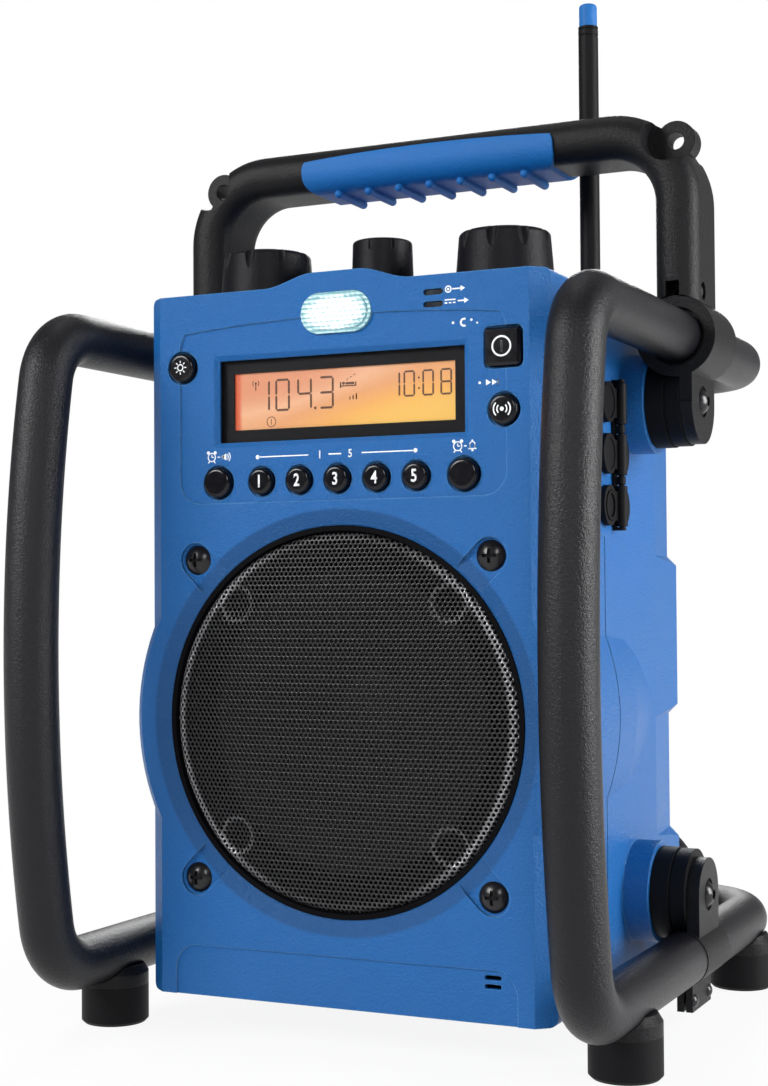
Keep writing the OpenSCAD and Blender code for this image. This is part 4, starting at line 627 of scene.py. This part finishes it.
# How finely the tubes are made
TUBE_SIDES, BEND_STEPS, BOW_STEPS, BAR_STEPS = 48, 16, 36, 18
ROLL_TURNS = (0, 22.5, 45, 67.5, 90)
TUBE_WELD, SMOOTH_ANGLE = 0.000005, 50
LEFTWARD, UPWARD = (-1, 0, 0), (0, 0, 1)
FORWARD, BACKWARD = (0, -1, 0), (0, 1, 0)


def roll_edge(towards, opening):
    """A tube's end grows from, or shrinks to, its rolled edge."""
    turns = [math.radians(turn) for turn in (ROLL_TURNS if opening else reversed(ROLL_TURNS))]
    for one, two in zip(turns, turns[1:]):
        step = abs(math.cos(one) - math.cos(two)) * ROLL
        grow = (TUBE_R - ROLL + ROLL * math.sin(two)) / (TUBE_R - ROLL + ROLL * math.sin(one))
        run_on(Vector(towards) * step)
        bpy.ops.transform.resize(value=(grow, grow, grow))


def start_tube(place, towards):
    """A rolled end, from which the tube runs on."""
    put_down()
    turn = Vector(towards).to_track_quat("Z", "Y").to_euler()
    bpy.ops.mesh.primitive_circle_add(vertices=TUBE_SIDES, radius=TUBE_R - ROLL, fill_type="NGON",
                                      location=place, rotation=turn)
    tube = settle(bpy.context.object)
    edit_all("FACE")
    roll_edge(towards, True)
    return tube


def run_on(move):
    bpy.ops.mesh.extrude_region_move(TRANSFORM_OT_translate={"value": move})


def swing(angle, centre, axis, steps):
    bpy.ops.mesh.spin(steps=steps, angle=angle, center=centre, axis=axis)


def finish_tube(tube, towards):
    roll_edge(towards, False)
    weld_all(TUBE_WELD)
    pick_up(tube)
    bpy.ops.object.shade_smooth_by_angle(angle=math.radians(SMOOTH_ANGLE))
    return tube


def hoop_tube():
    """A side hoop: straight, bend, long bow, bend and straight."""
    half_span = (HIGH_Z - LOW_Z) / 2
    slope = math.asin((half_span - BEND_R) / (BOW_R - BEND_R))
    bend_y = HOOP_Y + BOW_R - (BOW_R - BEND_R) * math.cos(slope)
    tube = start_tube((-SIDE_X, HOOP_END_Y, HIGH_Z), FORWARD)
    run_on((0, bend_y - HOOP_END_Y + ROLL, 0))
    swing(math.pi / 2 - slope, (-SIDE_X, bend_y, HIGH_Z - BEND_R), LEFTWARD, BEND_STEPS)
    swing(2 * slope, (-SIDE_X, HOOP_Y + BOW_R, (HIGH_Z + LOW_Z) / 2), LEFTWARD, BOW_STEPS)
    swing(math.pi / 2 - slope, (-SIDE_X, bend_y, LOW_Z + BEND_R), LEFTWARD, BEND_STEPS)
    run_on((0, HOOP_END_Y - ROLL - bend_y, 0))
    return finish_tube(tube, BACKWARD)


def rear_tube():
    """A rear bar: two legs that reach forward, joined behind the housing."""
    bend_x, bend_y = SIDE_X - BAR_BEND_R, BAR_Y - BAR_BEND_R
    tube = start_tube((-SIDE_X, BAR_START_Y, HIGH_Z), BACKWARD)
    run_on((0, bend_y - BAR_START_Y - ROLL, 0))
    swing(math.pi / 2, (-bend_x, bend_y, HIGH_Z), UPWARD, BAR_STEPS)
    run_on((2 * bend_x, 0, 0))
    swing(math.pi / 2, (bend_x, bend_y, HIGH_Z), UPWARD, BAR_STEPS)
    run_on((0, BAR_START_Y + ROLL - bend_y, 0))
    return finish_tube(tube, FORWARD)


for maker, twins in ((hoop_tube, {"left_hoop": (0, 0, 0), "right_hoop": (2 * SIDE_X, 0, 0)}),
                     (rear_tube, {"upper_rear_bar": (0, 0, 0), "lower_rear_bar": (0, 0, LOW_Z - HIGH_Z)})):
    pattern = maker()
    for node, move in twins.items():
        tube = copy_of(pattern, node + "_tube") if any(move) else pattern
        tube.location = move
        settle(tube)
        fit(tube, node + "_tube", body_of(node), finishes["cage_coating"])
        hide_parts(node)

# ---------------------------------------------------------------- perforated grille

# The former, in metres and radians: its dome, the curl that starts at the dome's edge, and the dimples
DOME_TIP, DOME_R, DOME_EDGE_R, DOME_STEPS = -0.0814, 0.561, 0.0667, 70
CURL_R, CURL_START, CURL_END, CURL_STEPS = 0.0032, math.asin(DOME_EDGE_R / DOME_R), math.radians(66), 12
SPIN_STEPS, FORMER_WELD = 300, 0.000002
DIMPLE_TURNS, DIMPLE_OUT, DIMPLE_DEPTH, DIMPLE_REACH = (45, 135, 225, 315), 0.061, 0.0014, 0.0068
# The punched sheet, before it is pressed
HOLE_PITCH, HOLE_R, SHEET_R, SHEET_THICK = 0.00189, 0.00068, 0.06922, 0.0007
ROW_PITCH, HOLES_ACROSS, ROW_PAIRS, CELL_WELD = HOLE_PITCH * math.sqrt(3) / 2, 75, 43, 0.00001
HOLE_INSET, CUT_MARGIN, BORDER_MARGIN, DRAWN_IN, STAND_OFF = 0.0003, 0.0003, 0.0002, 0.0001, 0.01


def grille_former():
    """The smooth press tool: a shallow dome with a curled edge and four dimples."""
    # The plane is merged into one point, from which the profile runs outwards
    put_down()
    bpy.ops.mesh.primitive_plane_add(size=0.01, location=(0, DOME_TIP, SPEAKER_Z))
    former = settle(bpy.context.object)
    edit_all("VERT")
    bpy.ops.mesh.merge(type="CENTER")
    bpy.ops.mesh.select_all(action="SELECT")
    reach = DOME_R - CURL_R
    turns = [CURL_START * k / DOME_STEPS for k in range(DOME_STEPS + 1)]
    line = [(DOME_R * math.sin(turn), DOME_R * (1 - math.cos(turn))) for turn in turns]
    turns = [CURL_START + (CURL_END - CURL_START) * k / CURL_STEPS for k in range(1, CURL_STEPS + 1)]
    line += [(reach * math.sin(CURL_START) + CURL_R * math.sin(turn),
              DOME_R - reach * math.cos(CURL_START) - CURL_R * math.cos(turn)) for turn in turns]
    for one, two in zip(line, line[1:]):
        step = (two[0] - one[0], two[1] - one[1], 0)
        bpy.ops.mesh.extrude_vertices_move(TRANSFORM_OT_translate={"value": step})
    bpy.ops.mesh.select_all(action="SELECT")
    swing(2 * math.pi, (0, 0, SPEAKER_Z), BACKWARD, SPIN_STEPS)
    weld_all(FORMER_WELD)
    bpy.ops.object.mode_set(mode="OBJECT")
    for turn in DIMPLE_TURNS:
        x = DIMPLE_OUT * math.cos(math.radians(turn))
        z = SPEAKER_Z + DIMPLE_OUT * math.sin(math.radians(turn))
        choose(former, lambda at: math.hypot(at.x - x, at.z - z) < MM, "VERT")
        bpy.ops.transform.translate(value=(0, DIMPLE_DEPTH, 0), use_proportional_edit=True,
                                    proportional_size=DIMPLE_REACH, proportional_edit_falloff="SPHERE")
        bpy.ops.object.mode_set(mode="OBJECT")
    return former


def punched_cell():
    """One round hole in a six-sided piece of sheet, lying flat."""
    put_down()
    bpy.ops.mesh.primitive_circle_add(vertices=6, radius=HOLE_PITCH / math.sqrt(3), fill_type="NGON")
    cell = bpy.context.object
    edit_all("EDGE")
    bpy.ops.mesh.subdivide(number_cuts=1)
    bpy.ops.mesh.select_mode(type="FACE")
    bpy.ops.mesh.select_all(action="SELECT")
    bpy.ops.mesh.inset(thickness=HOLE_INSET)
    bpy.ops.transform.tosphere(value=1)
    bpy.ops.object.mode_set(mode="OBJECT")
    ring = min(vertex.co.length for vertex in cell.data.vertices)
    bpy.ops.object.mode_set(mode="EDIT")
    bpy.ops.transform.resize(value=(HOLE_R / ring, HOLE_R / ring, 1))
    bpy.ops.mesh.delete(type="FACE")
    bpy.ops.object.mode_set(mode="OBJECT")
    return cell


def punched_sheet():
    """A round flat sheet of cells, with its ragged border drawn in to a true circle."""
    cell = punched_cell()
    offset_row = copy_of(cell, "offset_row")
    offset_row.location = (HOLE_PITCH / 2, ROW_PITCH, 0)
    settle(offset_row)
    sheet = joined([cell, offset_row])
    for count, step in ((HOLES_ACROSS, (HOLE_PITCH, 0, 0)), (ROW_PAIRS, (0, 2 * ROW_PITCH, 0))):
        use(sheet, "ARRAY", count=count, use_relative_offset=False, use_constant_offset=True,
            constant_offset_displace=step, use_merge_vertices=True, merge_threshold=CELL_WELD)
    sheet.location = (-HOLE_PITCH * HOLES_ACROSS / 2, -ROW_PITCH * ROW_PAIRS, 0)
    settle(sheet)
    cut_away(sheet, lambda at: math.hypot(at.x, at.y) > SHEET_R + CUT_MARGIN)
    border = sheet.vertex_groups.new(name="border")
    outer = [v.index for v in sheet.data.vertices if math.hypot(v.co.x, v.co.y) > SHEET_R - BORDER_MARGIN]
    border.add(outer, 1, "REPLACE")
    use(sheet, "CAST", cast_type="CYLINDER", factor=1, radius=0, use_radius_as_size=False,
        size=SHEET_R - DRAWN_IN, use_z=False, vertex_group="border")
    return sheet


def perforated_grille():
    """The sheet is pressed over the former, its edges get their depth, and it is parted down the middle."""
    former = grille_former()
    sheet = punched_sheet()
    sheet.location = (0, DOME_TIP - STAND_OFF, SPEAKER_Z)
    sheet.rotation_euler = (math.pi / 2, 0, 0)
    settle(sheet)
    use(sheet, "SHRINKWRAP", target=former, wrap_method="PROJECT", use_project_x=False, use_project_y=True,
        use_project_z=False, use_negative_direction=True, use_positive_direction=True)
    pick_up(former)
    bpy.ops.object.delete()
    pick_up(sheet)
    bpy.ops.object.mode_set(mode="EDIT")
    bpy.ops.mesh.select_mode(type="EDGE")
    bpy.ops.mesh.select_all(action="DESELECT")
    bpy.ops.mesh.select_non_manifold(extend=False, use_wire=False, use_boundary=True, use_multi_face=False,
                                     use_non_contiguous=False, use_verts=False)
    bpy.ops.mesh.extrude_edges_move(TRANSFORM_OT_translate={"value": (0, SHEET_THICK, 0)})
    pick_up(sheet)
    bpy.ops.object.shade_smooth()
    half = copy_of(sheet, "right_half")
    for piece, unwanted, name in ((sheet, lambda at: at.x > 0, "grille_sheet_left"),
                                  (half, lambda at: at.x <= 0, "grille_sheet_right")):
        cut_away(piece, unwanted)
        fit(piece, name, body_of("speaker_grille"), finishes["grille_steel"])
        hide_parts("speaker_grille")


perforated_grille()

# ---------------------------------------------------------------- printed marks and display figures

# The planes are in metres, the marks in mm: across from the middle, and up from the floor
FACE_Y, PANEL_Y = -0.0794, -0.0787
RING_SIDES, DOT_SIDES, SMALL_DOT_SIDES, TINY_DOT_SIDES = 40, 24, 16, 14
POINT_LEFT, POINT_RIGHT = 90, -90
INK_THICK, SEGMENT_THICK = 0.05, 0.04
# A corner's cut as a share of the bar's width, and its steps
POINTED_END, ROUNDED_END = (0.42, 1), (0.2, 2)
# The height of a capital as a share of the type's size, and the steps in a figure's curves
CAP_SHARE, FIGURE_STEPS = 0.72, 6
LIT = {"0": "abcdef", "1": "bc", "3": "abgcd", "4": "fgbc", "8": "abcdefg"}


def ink_dot(x, z, r, sides=DOT_SIDES, turn=0.0):
    put_down()
    bpy.ops.mesh.primitive_circle_add(vertices=sides, radius=r * MM, fill_type="NGON",
                                      location=(x * MM, z * MM, 0), rotation=(0, 0, math.radians(turn)))
    return settle(bpy.context.object)


def ink_wedge(x, z, r, turn):
    return ink_dot(x, z, r, 3, turn)


def ink_ring(x, z, r, width, low=0, high=360):
    """A ring, or the part of it between two angles, counted from the right and upwards."""
    def outside(at):
        return not low <= math.degrees(math.atan2(at.y - z * MM, at.x - x * MM)) % 360 <= high

    ring = ink_dot(x, z, r, RING_SIDES)
    edit_all("FACE")
    bpy.ops.mesh.inset(thickness=width * MM)
    bpy.ops.mesh.delete(type="FACE")
    bpy.ops.object.mode_set(mode="OBJECT")
    if high - low < 360:
        cut_away(ring, outside)
    return ring


def ink_arcs(x, z, radii, width, *spans):
    return [ink_ring(x, z, r, width, low, high) for low, high in spans for r in radii]


def ink_bar(x, z, length, width, turn=0.0, pointed=False):
    """A bar with rounded corners, or with pointed ends as a display segment has."""
    put_down()
    bpy.ops.mesh.primitive_plane_add(size=1)
    bar = bpy.context.object
    bar.scale = (length * MM, width * MM, 1)
    settle(bar)
    bpy.ops.object.mode_set(mode="EDIT")
    bpy.ops.mesh.select_all(action="SELECT")
    corner, segments = POINTED_END if pointed else ROUNDED_END
    bpy.ops.mesh.bevel(offset=width * MM * corner, segments=segments, affect="VERTICES")
    bpy.ops.object.mode_set(mode="OBJECT")
    bar.rotation_euler = (0, 0, math.radians(turn))
    bar.location = (x * MM, z * MM, 0)
    return settle(bar)


def ink_figure(text, x, z, high, wide, weight):
    """A number of a given height, with its middle at x, z."""
    put_down()
    bpy.ops.object.text_add(location=(0, 0, 0))
    figure = bpy.context.object
    figure.data.body = text
    figure.data.align_x, figure.data.align_y = "CENTER", "CENTER"
    figure.data.size = high * MM / CAP_SHARE
    figure.data.offset = weight * high * MM
    figure.data.resolution_u = FIGURE_STEPS
    bpy.ops.object.convert(target="MESH")
    figure = bpy.context.object
    across, upward = ([vertex.co[i] for vertex in figure.data.vertices] for i in (0, 1))
    size = high * MM / (max(upward) - min(upward))
    figure.scale = (size * wide, size, 1)
    middle_x, middle_z = (max(across) + min(across)) / 2, (max(upward) + min(upward)) / 2
    figure.location = (x * MM - middle_x * size * wide, z * MM - middle_z * size, 0)
    return settle(figure)


def stamp(parts, name, plane_y, node, material=PRINT, lift=INK_THICK):
    """Flat marks become one thin layer of ink on a plane that faces the front."""
    layer = joined(parts)
    use(layer, "SOLIDIFY", thickness=lift * MM, offset=1)
    layer.rotation_euler = (math.pi / 2, 0, 0)
    layer.location = (0, plane_y, 0)
    settle(layer)
    fit(layer, name, body_of(node), material)


def clock_icon(x, z):
    """An alarm clock with two bells and two feet."""
    return ([ink_ring(x, z, 1.75, 0.36), ink_bar(x, z + 0.5, 0.36, 1.15), ink_bar(x + 0.42, z, 1.1, 0.34)]
            + [ink_dot(x + side * 1.5, z + 1.75, 0.62, SMALL_DOT_SIDES) for side in (-1, 1)]
            + [ink_bar(x + side * 1.25, z - 1.85, 0.9, 0.42, -side * 50) for side in (-1, 1)])


def dash_icon(x, z):
    return [ink_bar(x, z, 1.0, 0.4)]


def pointer_dot(x, z):
    return [ink_dot(x, z, 0.5, SMALL_DOT_SIDES)]


def speaker_icon(x, z):
    return ([ink_bar(x - 1.35, z, 0.9, 1.3), ink_wedge(x - 0.75, z, 1.5, POINT_LEFT)]
            + ink_arcs(x - 0.5, z, (1.5, 2.35), 0.34, (318, 360), (0, 42)))


def bell_icon(x, z):
    sides = [ink_bar(x + side * 0.97, z - 0.25, 0.36, 1.5) for side in (-1, 1)]
    knobs = [ink_dot(x, z - 1.6, 0.42, TINY_DOT_SIDES), ink_dot(x, z + 1.8, 0.36, TINY_DOT_SIDES)]
    return [ink_ring(x, z + 0.45, 1.15, 0.36, 0, 180)] + sides + [ink_bar(x, z - 1.05, 3.1, 0.4)] + knobs


def moon_icon(x, z):
    """A crescent and two small four-sided stars."""
    stars = [ink_dot(x + 2.8, z + 0.7, 0.55, 4), ink_dot(x + 5.0, z - 0.5, 0.45, 4)]
    return [ink_ring(x, z, 1.6, 0.7, 60, 300)] + stars


def skip_icon(x, z):
    """Two arrowheads and a bar."""
    return [ink_wedge(x + move, z, 1.25, POINT_RIGHT) for move in (0, 2.3)] + [ink_bar(x + 4.0, z, 0.5, 2.2)]


def preset_range(x, z):
    """A long line over the presets with a dot at each end, broken by 1 - 5."""
    marks = [ink_bar(x, z, 5.2, 0.5)]
    for side, number in ((-1, "1"), (1, "5")):
        marks += [ink_bar(x + side * 21.4, z, 21.0, 0.42), ink_dot(x + side * 32.2, z, 0.8),
                  ink_figure(number, x + side * 6.2, z, 3.0, 0.85, 0.03)]
    return marks


def pin_icon(x, z):
    """A ringed pin, and an arrow to the right of it."""
    pin = [ink_ring(x, z, 1.3, 0.42), ink_dot(x, z, 0.45, TINY_DOT_SIDES)]
    return pin + [ink_bar(x + 3.3, z, 3.4, 0.48), ink_wedge(x + 5.3, z, 1.15, 30)]


def supply_icon(x, z):
    """A long line over three short ones, and an arrow to the right of them."""
    short = [ink_bar(x + move, z - 1.1, 1.0, 0.46) for move in (-1.6, 0, 1.6)]
    arrow = [ink_bar(x + 4.2, z - 0.6, 2.6, 0.48), ink_wedge(x + 6.0, z - 0.6, 1.15, POINT_RIGHT)]
    return [ink_bar(x, z, 4.2, 0.46)] + short + arrow


def power_mark(x, z):
    return [ink_ring(x, z, 3.7, 0.62), ink_bar(x, z, 0.75, 3.6)]


def band_mark(x, z):
    """A dot with two waves to its left and two to its right."""
    return [ink_dot(x, z, 0.75)] + ink_arcs(x, z, (2.1, 3.4), 0.5, (135, 225), (0, 45), (315, 360))


def lamp_mark(x, z):
    """A small ring with eight rays."""
    marks, out = [ink_ring(x, z, 1.35, 0.38)], 2.15
    for turn in range(0, 360, 45):
        a = math.radians(turn)
        marks.append(ink_bar(x + out * math.cos(a), z + out * math.sin(a), 0.9, 0.36, turn))
    return marks


# What is drawn, and where its middle is
PANEL_MARKS = (
    (clock_icon, -52.9, 217.6), (dash_icon, -49.9, 217.6), (speaker_icon, -46.6, 217.6),
    (clock_icon, 47.6, 217.8), (dash_icon, 50.5, 217.8), (bell_icon, 53.2, 217.8),
    (preset_range, -1.0, 217.0),
    (pointer_dot, 46.15, 261.7), (moon_icon, 50.4, 261.6),
    (pointer_dot, 56.2, 239.8), (skip_icon, 59.2, 239.8),
)
SOCKET_MARKS = ((pin_icon, 44.7, 273.7), (supply_icon, 45.4, 269.9))
BUTTON_MARKS = {"power_button": power_mark, "band_button": band_mark, "lamp_button": lamp_mark}
PRESETS = range(1, 6)


def drawn(marks):
    return [part for mark, x, z in marks for part in mark(x, z)]


def face_marks():
    """White marks beside the controls: only plain signs and numbers, with no words."""
    stamp(drawn(PANEL_MARKS), "panel_marks", PANEL_Y, "front_shell")
    stamp(drawn(SOCKET_MARKS), "socket_marks", FACE_Y, "front_shell")


def front_of(node):
    """The middle of a piece's front in mm, and the plane that it lies in."""
    low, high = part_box(node)
    return (low[0] + high[0]) / 2 / MM, (low[2] + high[2]) / 2 / MM, low[1]


def key_marks():
    for i in PRESETS:
        node = "preset_button_%d" % i
        x, z, plane = front_of(node)
        stamp([ink_figure(str(i), x, z, 4.7, 0.8, 0.03)], "figure_%d" % i, plane, node)
    for node, mark in BUTTON_MARKS.items():
        x, z, plane = front_of(node)
        stamp(mark(x, z), node + "_mark", plane, node)


# The display's figures: the middle of each digit across, then upwards, and a digit's width, height and stroke
STATION = (("1", -33.45), ("0", -25.0), ("4", -15.75), ("3", -6.7))
STATION_Z, STATION_SIZE = 240.25, (6.2, 12.1, 0.85)
TIME = (("1", 21.0), ("0", 26.9), ("0", 34.35), ("8", 41.4))
TIME_Z, TIME_SIZE = 241.65, (4.6, 9.5, 0.7)


def display_digit(text, x, z, wide, tall, stroke):
    """A seven-segment digit with its middle at x, z."""
    w, h = wide / 2 - stroke / 2, tall / 2 - stroke / 2
    gap = stroke * 0.35
    across, upright = 2 * w - gap, h - gap
    seats = {"a": (0, h, 0), "g": (0, 0, 0), "d": (0, -h, 0),
             "b": (w, h / 2, 90), "c": (w, -h / 2, 90), "f": (-w, h / 2, 90), "e": (-w, -h / 2, 90)}
    lit = [seats[letter] for letter in LIT[text]]
    return [ink_bar(x + dx, z + dz, upright if turn else across, stroke, turn, True) for dx, dz, turn in lit]


def bed_icon(x, z):
    """A small bed with three rising marks."""
    bed = [ink_bar(x, z, 6.4, 0.45)]
    bed += [ink_bar(x - 3.1, z + 0.4, 0.45, 2.2), ink_bar(x + 3.1, z + 0.7, 0.45, 1.6)]
    sleeper = [ink_dot(x - 1.9, z + 1.0, 0.6, TINY_DOT_SIDES), ink_bar(x + 0.7, z + 0.9, 3.6, 0.9)]
    rising = [ink_bar(x - 0.3 + k * 1.4, z + 2.4 + k * 0.8, 0.8, 0.3, 30) for k in range(3)]
    return bed + sleeper + rising


def mast_icon(x, z):
    """A mast with waves at its top."""
    mast = [ink_bar(x, z - 1.5, 0.4, 2.6), ink_dot(x, z, 0.45, TINY_DOT_SIDES)]
    return mast + ink_arcs(x, z, (1.5,), 0.35, (135, 225), (0, 45), (315, 360))


def ringed_figure(x, z):
    return [ink_ring(x, z, 2.0, 0.3), ink_figure("1", x, z, 2.2, 0.8, 0.0)]


def growing_bars(x, z):
    return [ink_bar(x + k * 1.3, z + k * 0.25, 0.5, 1.2 + k * 0.5) for k in range(3)]


DISPLAY_MARKS = ((bed_icon, 2.3, 242.2), (mast_icon, -36.4, 245.1), (ringed_figure, -29.8, 230.4),
                 (growing_bars, 3.0, 237.6))


def display_figures():
    """The station's number and the time, with small signs round them."""
    marks = [part for text, x in STATION for part in display_digit(text, x, STATION_Z, *STATION_SIZE)]
    marks += [ink_dot(-11.3, 234.7, 0.55, SMALL_DOT_SIDES)]
    marks += [part for text, x in TIME for part in display_digit(text, x, TIME_Z, *TIME_SIZE)]
    marks += [ink_dot(30.7, z, 0.4, TINY_DOT_SIDES) for z in (243.6, 239.8)]
    marks += drawn(DISPLAY_MARKS)
    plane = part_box("display_panel")[0][1]
    stamp(marks, "display_figures", plane, "display_panel", SEGMENTS, SEGMENT_THICK)


face_marks()
key_marks()
display_figures()
